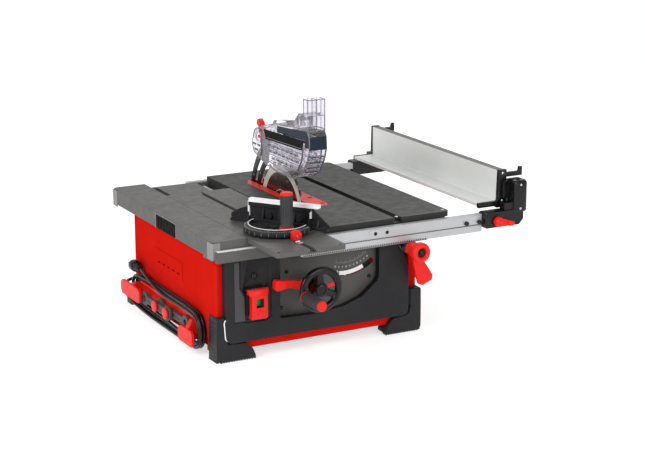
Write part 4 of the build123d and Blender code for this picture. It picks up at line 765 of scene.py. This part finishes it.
hub = Shape().lathe([(0, -326.5), (20, -326.5), (20, -343), (18, -346), (0, -346)], WHEEL, "y", 48)
piece("bevel_hub", hub, "black_plastic", body="bevel_clamp", bevel=0.5)
lever = Shape()
lever.prism([(-50, -119), (-104, -114), (-137, -108), (-142, -112), (-143, -131), (-137, -135),
    (-104, -131), (-52, -146)], "y", -345.5, -332.5, 4)
lever.prism([(-112, -113), (-139, -108), (-143, -114), (-143.5, -130), (-138, -135), (-113, -131)], "y",
    -349, -331, 4)
piece("bevel_handle", lever, "red_plastic", body="bevel_clamp", bevel=1.2, steps=3,
    stands_for=("bevel_lever",))

# ---------------------------------------------------------------- switch

switch_box = Shape().prism(rect(-213, -119, -150, -211), "y", -316, -288.4, 3)
well = Shape().prism(rect(-206, -126, -157, -204), "y", -322, -303)
shaft = Shape().block((-192.5, -169.5), (-330, -280), (-172.5, -145.5))
piece("switch_body", switch_box, "black_plastic", bevel=0.6, cuts=[well, shaft],
    stands_for=("switch_housing",))
ears = Shape().rod((-212.5, -320, -128.5), (-150.5, -320, -128.5), 2.6, 20)
piece("switch_hinge", ears, "black_plastic")
flap = Shape().sections("z", (
    (-125.6, [(-209, -330), (-209, -333.5), (-203, -336), (-162, -336), (-156, -333.5), (-156, -330)]),
    (-128.5, [(-210, -325), (-210, -335), (-205, -338.5), (-160, -338.5), (-155, -335), (-155, -325)]),
    (-139, [(-208, -325), (-208, -339), (-203, -342), (-163, -342), (-158, -339), (-158, -325)]),
    (-144, [(-202, -325), (-202, -339.5), (-198.5, -342.6), (-164, -342.6), (-160, -339.5), (-160, -325)]),
    (-168, [(-201.5, -325), (-201.5, -339.8), (-198, -342.8), (-163.5, -342.8), (-159.5, -339.8),
            (-159.5, -325)]),
    (-188, [(-202, -325), (-202, -339.6), (-198.5, -342.6), (-163, -342.6), (-159, -339.6), (-159, -325)]),
    (-197, [(-203.5, -325), (-203.5, -338), (-200, -341), (-161.5, -341), (-158, -338), (-158, -325)]),
    (-200, [(-203, -327), (-203, -336), (-200, -339), (-162, -339), (-159, -336), (-159, -327)])))
pocket = Shape().block((-198.5, -162.5), (-339.5, -320), (-197, -132))
view_hole = Shape().prism(rect(-191, -148.5, -170.5, -171), "y", -350, -330, 2)
piece("stop_flap", flap, "red_plastic", body="switch_cover", bevel=0.9, steps=3,
    cuts=[pocket, view_hole], stands_for=("switch_flap",))
tab = Shape().prism(rect(-187, -178, -174, -190), "y", -344.4, -342, 3)
piece("flap_tab", tab, "red_plastic", body="switch_cover", bevel=0.6)
green = Shape().prism(rect(-190.5, -147.5, -171.5, -170.5), "y", -327.6, -300.5, 2.4)
piece("start_button", green, "green_plastic", body="switch_button", bevel=1.4, steps=3,
    stands_for=("on_button",))

# ---------------------------------------------------------------- table, insert, extension

insert_outline = rounded([(45.6, -80, 40), (62, -122.4, 22), (124, -122.4, 22), (130.4, -96, 20),
    (130.4, 190, 60), (112, 232.4, 26), (66, 232.4, 26), (45.6, 196, 50)], 20, 7)
insert = Shape().prism(insert_outline, "z", -2.95, -0.25)
kerf = Shape().block((68, 82), (-95, 230), (-6, 4))
SCREWS = ((117, -30), (118, -100))
holes = [Shape().disc((x, y), "z", 7.0, -6, 4, 28) for x, y in SCREWS]
piece("insert_plate", insert, "red_plastic", bevel=0.5, cuts=[kerf, *holes],
    stands_for=("table_insert",))
surround = Shape().prism(rect(45.1, -122.9, 130.9, 232.9), "z", -2.9, -0.15)
hollow = Shape().prism([(88 + (a - 88) * 1.012, 55 + (b - 55) * 1.003) for a, b in insert_outline], "z",
    -9, 4)
piece("insert_surround", surround, "table_enamel", cuts=[hollow])
heads = Shape()
for x, y in SCREWS:
    heads.lathe([(0, -2.9), (6.8, -2.9), (6.8, -1.6), (5.6, -0.9), (1.8, -0.9), (1.8, -2), (0, -2)],
        (x, y), "z", 24)
piece("insert_screws", heads, "black_plastic")

ribs = Shape()
for k in range(7):
    x = -293.9 + 3.0 * k
    ribs.rod((x, -319.7, -44), (x, -319.7, -3.5), 1.5, 10)
for k in range(9):
    y = -318 + 3.2 * k
    ribs.rod((-294.2, y, -44 if y < -268 else -46), (-294.2, y, -3.5), 1.5, 10)
    y = 313 - 3.2 * k
    ribs.rod((-294.2, y, -46), (-294.2, y, -3.5), 1.5, 10)
piece("extension_corners", ribs, "pale_grey")
bezel = Shape().trace("x", -294.4, [(-104, -42), (-104, -5), (24, -5), (24, -42)], 1.0)
piece("grip_bezel", bezel, "pale_grey")
# Painted shade: a near-black sheet with fins at the back of the grip recess, where the recess lies in shadow
recess_shade = Shape().block((-291.5, -288.5), (-103, 23), (-44, -5.6))
for k in range(12):
    recess_shade.block((-293, -290.5), (-98 + 10 * k, -95 + 10 * k), (-43, -7))
piece("grip_recess_shade", recess_shade, "dark_gap", bevel=0.4)
# Painted highlight: a near-white strip along the top edge of the carriage bed's fascia, where the rounded
# edge catches the light
bed_highlight = Shape().block((-287.6, -77), (-334, -321), (-23.2, -21.6))
piece("bed_edge_highlight", bed_highlight, "pale_edge", bevel=0.5)
scale = Shape()
for k in range(54):
    x = -10 + 7 * k
    if not 190 < x < 236:
        scale.block((x - 0.35, x + 0.35), (-319.4, -313 if k % 5 else -309), (-0.25, 0.12))
piece("table_scale", scale, "grey_print")
stud = Shape()
for centre in ((352, -306), (213, -311)):
    stud.lathe([(0, -0.5), (4.6, -0.5), (4.6, 0.9), (3.4, 1.6), (1.6, 1.6), (1.6, 0.6), (0, 0.6)],
        centre, "z", 24)
piece("table_studs", stud, "bright_steel")


# ---------------------------------------------------------------- mitre gauge

PIVOT = Vector((-111, -297))
TANGENT, NORMAL = Vector((0.598, -0.802)), Vector((0.802, 0.598))


def gauge(n, t):
    """Table coordinates from the gauge's own: n across the fence, t along it."""
    p = PIVOT + NORMAL * n + TANGENT * t
    return p.x, p.y


def gauge_block(shape, n, t, h):
    return shape.hull([at(*gauge(a, b), c) for a in n for b in t for c in h])


def gauge_prism(shape, outline, low, high, radius=0.0):
    """A fence profile drawn in (t, height) and given thickness across the fence."""
    outline = rounded(outline, radius) if radius else outline
    return shape.drawn(*([at(*gauge(n, t), h) for t, h in outline] for n in (low, high)))


def spokes(shape, first, step, count, radii, half, heights):
    """Radial blocks on the gauge at angles from the one that points back from the fence."""
    for k in range(count):
        a = radians(BACK + first + step * k)
        d, n = Vector((cos(a), sin(a))), Vector((-sin(a), cos(a)))
        pts = [PIVOT + d * r + n * u for r in radii for u in (-half, half)]
        shape.hull([at(p.x, p.y, h) for p in pts for h in heights])


BACK = degrees(atan2(-NORMAL.y, -NORMAL.x))
head = Shape()
floor_loop = arc(PIVOT, 70, BACK - 104, BACK + 104, 40)
head.prism(floor_loop, "z", 5, 11.5)
head.lathe([(69, 5.5), (83, 5.5), (83.8, 8), (83.8, 12), (82.6, 15.4), (70.4, 21.6), (69, 20.4)], PIVOT,
    "z", 56, True, BACK - 100, 200)
spokes(head, -96, 192 / 23, 24, (81.5, 84.0), 1.2, (6.0, 15.0))
spokes(head, -80, 40, 5, (16, 70), 3, (9, 15))
head.disc(PIVOT, "z", 20, 8, 17.5, 40, ease=1.2)
head.disc(PIVOT, "z", 8, 10, 20.5, 6)
gauge_block(head, (17, 31), (-70, 70), (4.6, 14))
gauge_block(head, (14, 24), (-66, 66), (9, 20))
piece("protractor", head, "charcoal_plastic", body="mitre_protractor", bevel=0.6,
    stands_for=("mitre_head",))
# Painted highlight: a pale band on the rounded inner top edge of the protractor's rim, where it catches the
# light
rim_highlight = Shape()
rim_highlight.lathe([(69.5, 20.8), (70.2, 21.8), (72.0, 21.4), (71.8, 20.4), (70.4, 20.8)], PIVOT, "z",
    56, True, BACK - 98, 196)
piece("rim_edge_highlight", rim_highlight, "pale_edge", body="mitre_protractor")
ticks = Shape()
for k in range(65):
    a = radians(BACK - 96 + 3 * k)
    d, n = Vector((cos(a), sin(a))), Vector((-sin(a), cos(a)))
    r0 = 77 if k % 5 else 74.5
    pts = [(PIVOT + d * r0 + n * u, 21.25 - (r0 - 71) * 0.50) for u in (-0.4, 0.4)] + \
          [(PIVOT + d * 80.6 + n * u, 16.7) for u in (-0.4, 0.4)]
    ticks.hull([at(p.x, p.y, h + dh) for p, h in pts for dh in (-0.6, 0.15)])
spokes(ticks, -92, 13, 15, (83.0, 84.2), 0.3, (6.5, 14.6))
piece("degree_marks", ticks, "grey_print", body="mitre_protractor")

fence_shape = Shape()
gauge_prism(fence_shape, [(-148, 3.4), (120, 3.4), (119.5, 14), (108, 24), (80, 48), (72, 57),
    (-97, 57), (-101, 52), (-104, 42), (-122, 36), (-148, 22)], 40.5, 44.8, 4)
gauge_prism(fence_shape, rect(-146, 3.4, 118, 11), 30.8, 44, 2)
for t in (-98, -58, -14, 26, 66):
    fence_shape.hull([at(*gauge(a, t + u), h) for a, h in ((30.8, 4), (44, 4), (41, 56), (44, 56),
        (37, 30)) for u in (-2.4, 2.4)])
for t in (90, 108):
    fence_shape.hull([at(*gauge(a, t + u), h) for a, h in ((30.8, 4), (44, 4),
        (41.5, 30 - 0.9 * (t - 90)), (44, 30 - 0.9 * (t - 90))) for u in (-2.2, 2.2)])
gauge_prism(fence_shape, rect(-96, 47, 72, 56.8), 32, 44, 2)
for t in (-40, 40):
    fence_shape.rod((*gauge(32, t), 26), (*gauge(43, t), 26), 7.5, 24)
piece("mitre_face", fence_shape, "charcoal_plastic", body="mitre_protractor", bevel=0.7,
    stands_for=("mitre_fence",))
bar = Shape()
gauge_prism(bar, rect(-94, 57.1, 94, 65.9), 29.2, 44.8, 0.8)
rail_groove = gauge_prism(Shape(), rect(-100, 60.6, 100, 63.2), 26, 30.6)
lip_groove = gauge_prism(Shape(), rect(-100, 64.6, 100, 67), 34.5, 36.2)
piece("mitre_top_bar", bar, "pale_edge", body="mitre_protractor", bevel=0.5,
    cuts=[rail_groove, lip_groove], stands_for=("mitre_rail",))
silver = Shape()
gauge_prism(silver, rect(-99.5, 20, -94.5, 57), 36, 45, 0.6)
gauge_prism(silver, rect(68, 30, 72, 57), 36, 45, 0.6)
piece("mitre_strips", silver, "pale_edge", body="mitre_protractor",
    bevel=0.4)

KNOB = (-111, -345)
knob = Shape().lathe([(0, 22), (15.2, 22), (16.2, 24), (15.2, 27), (13.8, 30), (13.6, 60), (14.2, 84),
    (15, 98), (15.2, 101), (0, 101)], KNOB, "z", 48)
for k in range(12):
    a = 2 * pi * k / 12
    x, y = KNOB[0] + 13.9 * cos(a), KNOB[1] + 13.9 * sin(a)
    knob.rod((x, y, 31), (x + 0.9 * cos(a), y + 0.9 * sin(a), 96), 1.0)
piece("clamp_handle", knob, "grip_grey", body="mitre_clamp", bevel=0.3,
    stands_for=("mitre_knob",))
knob_red = Shape().lathe([(0, 14.8), (15.5, 14.8), (17, 16.4), (17, 20.6), (15.4, 22.4), (0, 22.4)],
    KNOB, "z", 48)
knob_red.lathe([(0, 100.6), (15.2, 100.6), (15.4, 103), (14.4, 106), (11, 107.6), (0, 107.9)], KNOB,
    "z", 48)
piece("clamp_handle_caps", knob_red, "red_plastic", body="mitre_clamp")
latch = Shape().sections("z", [(h, rect(x0, y0, x1, -386.5)) for h, x0, x1,
    y0 in ((2.4, -122, -100, -402), (8, -122.6, -99.4, -402.8), (17, -122.6, -99.4, -402.4),
    (21, -121, -101, -399), (23.8, -119, -103, -394))], 2)
latch_hole = Shape().disc((-111, 12), "y", 3.6, -410, -397, 24)
piece("stop_latch", latch, "red_plastic", body="mitre_stop", bevel=0.8, steps=3, cuts=[latch_hole],
    stands_for=("mitre_latch",))
pin = Shape().disc((-111, 12), "y", 2.4, -402.6, -390, 16, ease=0.5)
piece("latch_pin", pin, "bright_steel", body="mitre_stop")
collar = Shape().ring(KNOB, "z", 12.5, 6.0, 14.0, 14.7, 32)
piece("clamp_washer", collar, "bright_steel", body="mitre_clamp")
bar_end = Shape()
for y in (-420.6, -418.0):
    bar_end.block((-116.2, -105.8), (y, y + 1.0), (-0.3, 0.35))
piece("bar_marks", bar_end, "pale_edge", body="mitre_slider")
stops = Shape()
for x in (-196, -34):
    stops.disc((x, -470), "z", 3.4, -1, 0.7, 24, ease=0.3)
piece("carriage_screws", stops, "black_plastic", body="carriage")

# ---------------------------------------------------------------- blade, riving knife and guard

BLADE_CENTRE = (42, -42)


def on_blade(radius, angle, x):
    return at(x, *polar(BLADE_CENTRE, radius, angle))


# The blade's finish carries a painted red reflection in its tint.
repaint("blade", "blade_steel")
outline = arc(BLADE_CENTRE, 187, -15, 50, 26) + [(142, 142), (102, 142)] + \
    arc(BLADE_CENTRE, 134, 58, -15, 30)
knife = Shape().prism(outline, "x", 71.75, 74.25)
slot_line = arc(BLADE_CENTRE, 167, 13, 45, 20) + arc(BLADE_CENTRE, 153, 45, 13, 20)
knife_slot = Shape().prism(slot_line, "x", 70, 76)
piece("knife_plate", knife, "knife_black", body="lift", bevel=0.3,
    cuts=[knife_slot], stands_for=("riving_knife",))
tips = Shape()
for k in range(24):
    a = 15.0 * k
    tips.hull([on_blade(r, a + t, x) for r, t in ((118.5, 1.2), (126.8, 0.0), (126.4, -1.6),
        (118.5, -1.2)) for x in (71.5, 74.5)])
piece("blade_tips", tips, "carbide", body="spindle", bevel=0.15)
# The wide outer ring on each face is a painted reflection, a pale band where the blade's rim catches the
# light; the thin ring near the flange is a ring mark
plates = Shape()
for face in (71.8, 74.05):
    plates.ring(BLADE_CENTRE, "x", 117.5, 99, face, face + 0.15, 96)
    plates.ring(BLADE_CENTRE, "x", 52.5, 51, face, face + 0.15, 96)
piece("blade_rings", plates, "ground_steel", body="spindle")
studs = Shape()
for r, a in ((145, 8), (145, 30), (176, 20), (176, 38), (150, 47)):
    p = on_blade(r, a, 0)
    studs.disc((p.y * 1000, p.z * 1000 - TABLE_TOP), "x", 2.6, 71.4, 71.8, 20, ease=0.1)
piece("knife_dots", studs, "grey_print", body="lift")

LEFT_FACE, GUARD_MIDDLE = 48.0, 73.0
side = Shape()
side.prism([(104, 160), (98, 122), (74, 90), (6, 77), (-62, 76), (-100, 92), (-124, 124), (-131, 160),
    (-100, 168), (40, 168)], "x", LEFT_FACE - 3.4, LEFT_FACE + 0.2, 14)
CELLS = [(y, h) for h, y0, y1 in ((132, 66, -108), (116, 62, -98), (99, 44, -76))
    for y in range(y0, y1, -25)]
for y, h in CELLS:
    side.prism([(y, h + 4.6), (y - 19, h + 4.0), (y - 20, h - 4.0), (y - 1, h - 4.6)], "x",
        LEFT_FACE - 5.0, LEFT_FACE - 3.0, 2.4)
HUB_PLATE = rounded([(163, 122), (153, 99), (112, 88), (108, 152), (120, 163), (150, 155)], 10)
side.prism(HUB_PLATE, "x", LEFT_FACE - 2.4, LEFT_FACE + 0.2)
side.ring((122, 142), "x", 17, 12, LEFT_FACE - 4.4, LEFT_FACE - 2.2, 32)
side.mirrored(GUARD_MIDDLE)
edge = [(104, 160), (98, 122), (74, 90), (6, 77), (-62, 76), (-100, 92), (-124, 124), (-131, 158)]
front_line = [(-92, 76), (-112, 85), (-128, 97), (-141, 114), (-149, 127), (-156, 144)]
for a, b in zip(front_line, front_line[1:]):
    for share in (0.15, 0.65):
        y, h = a[0] + (b[0] - a[0]) * share, a[1] + (b[1] - a[1]) * share
        side.rod((52, y - 0.6, h), (94, y - 0.6, h), 1.9, 12)
for x in (49.5, 96.5):
    side.trace("x", x, [(y - 0.6, h) for y, h in front_line], 1.7, 10)
side.prism([(78, 179), (66, 194), (-4, 203), (-12, 196), (-12, 190)], "x", 62, 88, 5)
side.prism([(-60, 198), (-66, 216), (-82, 232), (-100, 236), (-100, 200)], "x", 54, 92, 8)
piece("guard_ribs", side, "clear_plastic", body="guard", bevel=0.5)
rims = Shape()
SHELL = rounded([(170, 119), (158, 94), (87, 73), (12, 66), (-56, 65.8), (-84, 70), (-128, 97),
    (-149, 127), (-159.4, 155), (-158, 188), (-144, 206), (-90, 202), (28, 192), (92, 176), (148, 158)],
    12, 4)
rims.trace("x", LEFT_FACE - 3.9, edge, 0.8)
for h, y0, y1 in ((140.5, 92, -128), (124, 84, -122), (107.5, 72, -108), (91, 50, -88)):
    rims.trace("x", LEFT_FACE - 3.6, [(y0, h), (y1, h)], 0.9)
rims.trace("x", LEFT_FACE - 2.2, looped(HUB_PLATE), 0.8)
rims.mirrored(GUARD_MIDDLE)
for x, r in ((48.6, 1.5), (97.4, 1.3)):
    rims.trace("x", x, looped(SHELL), r)
# Painted shade and dark reflections: smoky patches in the rows between the guard's ribs, on the hub plate and
# between the front ribs
shade = Shape()
for y, h in CELLS:
    shade.prism([(y - 3, h + 2.2), (y - 16, h + 1.8), (y - 17, h - 2.0), (y - 8, h - 3.0)], "x",
        LEFT_FACE - 5.5, LEFT_FACE - 4.8)
for h, y0, y1 in ((118, 158, 138), (118, 132, 114), (104, 150, 128)):
    shade.prism([(y0, h + 3), (y1, h + 2.4), (y1 + 2, h - 3), (y0 - 3, h - 2.4)], "x", LEFT_FACE - 3.1,
        LEFT_FACE - 2.4)
shade.mirrored(GUARD_MIDDLE)
for k in range(5):
    a, b = front_line[k], front_line[k + 1]
    y, h = (a[0] + b[0]) / 2, (a[1] + b[1]) / 2
    shade.prism([(y - 2.9, h - 1.2), (y - 3.3, h + 1.6), (y - 1.4, h + 1.6), (y - 1.0, h - 1.2)], "x",
        55, 92)
piece("guard_shades", shade, "smoke", body="guard", bevel=0.2)
for x in (49.0, 60.5, 72.0, 74.0, 85.5, 97.0):
    rims.rod((x, -151.4, 200), (x, -151.4, 281), 0.9)
    rims.rod((x, -127, 242), (x, -127, 281), 0.8)
for h in (203, 241, 281):
    rims.rod((48.8, -151.2, h), (97.2, -151.2, h), 1.0)
for x in (48.8, 97.2):
    rims.rod((x, -151.2, 280.9), (x, -127, 280.9), 1.0)
    rims.rod((x, -127, 242), (x, -101, 238), 1.0)
    rims.rod((x, -99.5, 238), (x, -99.5, 203), 1.0)
piece("guard_rims", rims, "clear_rim", body="guard")
label = Shape().prism([(90, 168), (78, 143), (-130, 150), (-134, 175)], "x", LEFT_FACE - 4.1,
    LEFT_FACE - 3.2, 2)
label.mirrored(GUARD_MIDDLE)
piece("guard_label", label, "black_label", body="guard", bevel=0.2)
navy = Shape().prism([(18, 188), (-146, 201), (-157, 188), (-157, 160), (-136, 158), (-138, 178),
    (18, 171)], "x", LEFT_FACE - 0.7, LEFT_FACE + 0.1)
navy.mirrored(GUARD_MIDDLE)
navy.prism([(-158.6, 188), (-160.8, 156), (-160.0, 155), (-157.8, 188)], "x", LEFT_FACE - 0.7, 98.4)
piece("guard_band", navy, "navy_label", body="guard", bevel=0.1)
mark = Shape().prism([(72, 148.2), (72, 147.2), (-124, 154.0), (-124, 155.0)], "x", LEFT_FACE - 4.4,
    LEFT_FACE - 4.0)
mark.mirrored(GUARD_MIDDLE)
piece("label_marks", mark, "grey_print", body="guard", bevel=0.05)
handle = Shape().prism([(111, 138), (112, 150), (135, 178), (148, 184), (158, 180), (160, 168),
    (146, 158), (133, 140), (126, 132), (116, 131)], "x", 59.2, 68.8, 6)
handle.prism([(134, 172), (147, 183.5), (157.5, 180), (159.5, 168.5), (147, 160)], "x", 57.4, 70.6, 5)
handle.lathe(rect(0, 44.2, 4, 101.8), (122, 142), "x", 24)
handle.lathe(rect(0, 58.6, 10.5, 69.4), (122, 142), "x", 32)
piece("guard_handle", handle, "red_plastic", body="guard_clamp", bevel=0.8, stands_for=("guard_lever",))

# ---------------------------------------------------------------- rails and rip fence

rail_screws = Shape()
for x in (134, 167):
    rail_screws.lathe([(0, -344.4), (4.6, -344.4), (4.6, -345.6), (3.6, -346.4), (1.6, -346.4),
        (1.4, -345.2), (0, -345.2)], (x, -26.5), "y", 24)
for x in (399, 437):
    rail_screws.lathe([(0, -343.2), (5.4, -343.2), (5.4, -350), (4.2, -351.4), (0, -351.6)], (x, -33),
        "y", 28)
piece("rail_knobs", rail_screws, "black_plastic", body="rails")
boss = Shape().prism([(116, -17), (186, -17), (182, -35), (120, -35)], "y", -345.0, -343.0, 5)
piece("rail_boss", boss, "anodised_aluminium", body="rails", bevel=0.3)
rail_lines = Shape()
for s in (-1, 1):
    for h in (-15.4, -50.5):
        rail_lines.rod((-71.5, s * 343.4, h), (445.5, s * 343.4, h), 0.9)
piece("rail_beads", rail_lines, "anodised_aluminium", body="rails")
# Painted shade: near-black marks on the rail face where the gaps between the rack teeth lie in shadow
notches = Shape()
for k in range(67):
    x = -64 + 5.2 * k
    notches.prism([(x - 1.7, -59.2), (x + 1.7, -59.2), (x + 0.5, -54.6), (x - 0.5, -54.6)], "y", -344.5,
        -343.5)
piece("rack_notch_shade", notches, "dark_gap", body="rails")
# Painted shade: a grey line along the groove between each rail's two profiles, where the groove lies in
# shadow
groove_shade = Shape()
for s in (-1, 1):
    groove_shade.block((-71, 445.6), sorted((s * 343.6, s * 344.25)), (-42.1, -39.2))
piece("rail_groove_shade", groove_shade, "fence_top", body="rails")
for node in ("fence_profile", "fence_ledge"):
    repaint(node, "fence_face")
cover = Shape()
for x0, x1 in ((506.3, 512.4), (513.2, 519.8), (520.6, 526.7)):
    cover.block((x0, x1), (-317.6, 317.6), (88.7, 89.5))
piece("fence_top_face", cover, "fence_top", body="rails", bevel=0.15)
joint = Shape().rod((505.4, -316, 9.0), (505.4, 316, 9.0), 0.9)
joint.rod((447, -316, 8.2), (447, 316, 8.2), 0.7)
piece("fence_joint", joint, "white_print", body="rails")

for s, end in ((-1, "front"), (1, "rear")):
    box = Shape()
    box.sections("y", [(s * y, rect(x0, h0, x1, h1)) for y, x0, x1, h0,
        h1 in ((317.5, 533, 571, -17, 62), (321, 531.3, 573.5, -19.5, 65.5),
        (352, 531.3, 573.5, -19.5, 65.5), (359, 533, 571.6, -17, 63), (361.8, 536.5, 568, -13, 59))], 7)
    box.sections("y", [(s * y, [(446.4, -49.6), (x1, -49.6), (562.6, -36), (562.6, -9.4),
        (446.4, -9.4)]) for y, x1 in ((328.4, 552), (356, 552), (359.8, 550))], 6)
    for y0, y1, radius, outline in (
            (355.6, 334.4, 2, rect(506.3, -9.8, 540.6, 9.6)),
            (335.6, 318.4, 3, rect(514.2, 18.4, 539.6, 61.6)),
            (326.6, 318.4, 2.4, [(518.3, 70.3), (577.8, 70.3), (577.8, 93.6), (570, 93.6), (567.6, 82),
                                 (518.3, 82)]),
            (326, 318.6, 0, rect(521, 60, 529.6, 72)),
            (327.6, 318.3, 1.6, [(500.3, -7.6), (529.6, -7.6), (529.6, 90.6), (506, 90.6), (504, 12),
                                 (500.3, 9)]),
            (325.6, 318.3, 2, rect(446.4, -3.6, 502, 9.6))):
        box.prism(outline, "y", s * y0, s * y1, radius)
    for h in (24, 47):
        box.block((574.0, 576.4), (s * 352, s * 326), (h - 1.2, h + 1.2))
    for k in range(5):
        box.block((452 + 9 * k, 455 + 9 * k), (s * 360.6, s * 359.2), (-44, -14))
    piece("fence_end_" + end, box, "black_plastic", body="rails", bevel=0.9, steps=3,
        stands_for=("fence_heads",))
    fixings = Shape()
    head = [(r, s * y) for r, y in ((0, 327.2), (3.6, 327.2), (3.6, 329.2), (2.4, 330), (0, 330))]
    for centre in ((517, 82), (517, 10), (523, 40)):
        fixings.lathe(head, centre, "y", 20)
    for centre in ((552, -8), (552, 54)):
        fixings.lathe([(r, s * y) for r, y in ((0, 361), (3.0, 361), (3.0, 361.95), (0, 361.95))],
            centre, "y", 20)
    piece("fence_screws_" + end, fixings, "bright_steel", body="rails")
    clamp = Shape()
    clamp.lathe([(r, s * y) for r, y in ((0, 360.4), (13, 360.4), (13, 370.5), (11, 373.6),
        (6.4, 373.6), (6.0, 371.8), (0, 371.8))], (484, -34), "y", 40)
    clamp.prism([(474, -27), (488, -24), (523, -35.5), (526.8, -40), (523, -46), (484, -45)], "y",
        s * 361, s * 371.5, 5)
    clamp.prism([(506, -31.5), (523, -35), (526.9, -40), (523, -46.8), (507, -46)], "y", s * 361,
        s * 375.6, 4)
    piece(end + "_clamp_handle", clamp, "red_plastic", body=end + "_clamp", bevel=1.0, steps=3,
        stands_for=(end + "_fence_lever",))

# ---------------------------------------------------------------- pinion knob and rail lever

PINION = (235, -75.5)
knob = Shape().lathe([(0, -357.2), (15, -357.2), (15.8, -361), (19, -362.4), (19, -373), (20.5, -376.5),
    (22.6, -380.5), (24.6, -385), (24.8, -397.6), (23.4, -401), (20.5, -402.8), (15, -402.8),
    (12.4, -400), (11.4, -394), (0, -394)], PINION, "y", 64)
for k in range(24):
    a = 2 * pi * k / 24
    x, h = PINION[0] + 24.4 * cos(a), PINION[1] + 24.4 * sin(a)
    knob.rod((x, -387, h), (x, -396, h), 0.8, 6)
piece("rail_knob", knob, "red_plastic", body="pinion", bevel=0.4, stands_for=("pinion_knob",))
core = Shape().lathe([(0, -393.8), (11.2, -393.8), (11.2, -395.2), (6.5, -395.8), (5.8, -400),
    (4, -401), (0, -401)], PINION, "y", 40)
piece("rail_knob_core", core, "black_plastic", body="pinion", bevel=0.2)
paddle = Shape().lathe([(0, -345.3), (16, -345.3), (16, -352), (14, -353.8), (0, -353.8)], PINION, "y",
    40)
paddle.prism([(234, -80), (252, -86), (268, -108), (284, -132), (297, -152), (294, -164), (268, -175),
    (256, -171), (248, -150), (240, -116)], "y", -353.4, -345.5, 8)
paddle.prism([(268, -122), (282, -131), (296.6, -152.4), (293.4, -163.6), (268.4, -174.4), (254, -158)],
    "y", -353.9, -345.2, 7)
piece("rail_paddle", paddle, "red_plastic", body="rail_lock", bevel=1.1, steps=3,
    stands_for=("rail_lock_lever",))
bearing_ribs = Shape()
for k in range(6):
    bearing_ribs.block((226 + 5.4 * k, 228 + 5.4 * k), (-327.8, -326.4), (-86, -52))
piece("bearing_ribs", bearing_ribs, "black_plastic", bevel=0.4)

# ---------------------------------------------------------------- cord hooks, spanners, dust port

hooks = Shape()
hooks.block((-283.8, -280.0), (-200, 150), (z(52), z(84)))
hooks.prism([(-292, z(84)), (-283, z(83.4)), (-281, z(90.6)), (-292, z(90.6))], "y", -196, 146, 2)
for y0, y1, outline in ((-212, -196, [(-280.4, z(34)), (-315.6, z(34)), (-315.6, z(62)),
        (-303, z(84.6)), (-280.4, z(84.6))]), (146, 162, [(-280.4, z(34)), (-315.6, z(42)),
        (-315.6, z(80)), (-303, z(84.6)), (-280.4, z(84.6))])):
    hooks.prism(outline, "y", y0, y1, 4)
hooks.prism([(-235.6, z(30)), (-232, z(21.4)), (-160, z(21.4)), (-150.4, z(28)), (-150.4, z(52)),
    (-168, z(62.6)), (-228, z(62.6)), (-235.6, z(54))], "x", -315.8, -308.4, 5)
hooks.prism([(96.4, z(46)), (110, z(41.4)), (216, z(41.4)), (225.6, z(52)), (225.6, z(72)),
    (214, z(80.6)), (108, z(80.6)), (96.4, z(72))], "x", -315.8, -308.4, 5)
for y in (10, -60):
    hooks.lathe(rect(0, -284, 7, -309), (y, z(60)), "x", 28)
piece("cord_hooks", hooks, "red_plastic", bevel=1.0, steps=3, stands_for=("cord_holder",))
buttons = Shape()
for y in (10, -60):
    buttons.lathe([(0, -307.5), (14.5, -307.5), (15.5, -309.5), (14.5, -312.4), (10, -313.2),
        (0, -313.4)], (y, z(60)), "x", 40)
piece("spanner_retainers", buttons, "red_plastic")
for k, (x0, x1, ya, yb) in enumerate(((-296, -288, -150, 10), (-306, -298, -60, 86))):
    tool = Shape().prism([(ya, z(50.5)), (yb, z(50.5)), (yb, z(69.5)), (ya, z(69.5))], "x", x0, x1, 2)
    groove = Shape().prism([(ya + 24, z(56)), (yb - 24, z(56)), (yb - 24, z(64)), (ya + 24, z(64))],
        "x", x0 - 1, x0 + 1.2, 3.5)
    cuts = [groove]
    for y in (ya, yb):
        tool.lathe([(0, x0), (18, x0), (19, x0 + 1), (19, x1 - 1), (18, x1), (0, x1)], (y, z(60)), "x",
            40)
        cuts.append(Shape().disc((y, z(60)), "x", 9, x0 - 2, x1 + 2, 6 if y == ya else 28))
    piece(f"spanner_{k + 1}", tool, "dark_plate", bevel=0.5, cuts=cuts, stands_for=("blade_spanners",))
port = Shape()
for k in range(4):
    y = 276 + 11 * k
    port.ring((73, z(120)), "y", 51.2, 49.4, y, y + 3, 64, ease=0.5)
for k in range(4):
    a = radians(45 + 90 * k)
    port.lathe([(0, 267.6), (4, 267.6), (4, 270.2), (2.6, 271), (0, 271)],
        (73 + 56.5 * cos(a), z(120) + 56.5 * sin(a)), "y", 20)
piece("dust_port_ribs", port, "black_plastic")

# Painted shade: near-black sheets behind the vent slots in the side walls and the rear, where the inside of
# the saw lies in shadow
vent_shade_sheets = Shape()
for s in (-1, 1):
    vent_shade_sheets.block(sorted((s * 276.4, s * 277.6)), (-92, 50), (-149, -129))
vent_shade_sheets.block((-156, -54), (257.8, 259.4), (z(104), z(240)))
piece("vent_shade", vent_shade_sheets, "dark_gap", bevel=0.2)
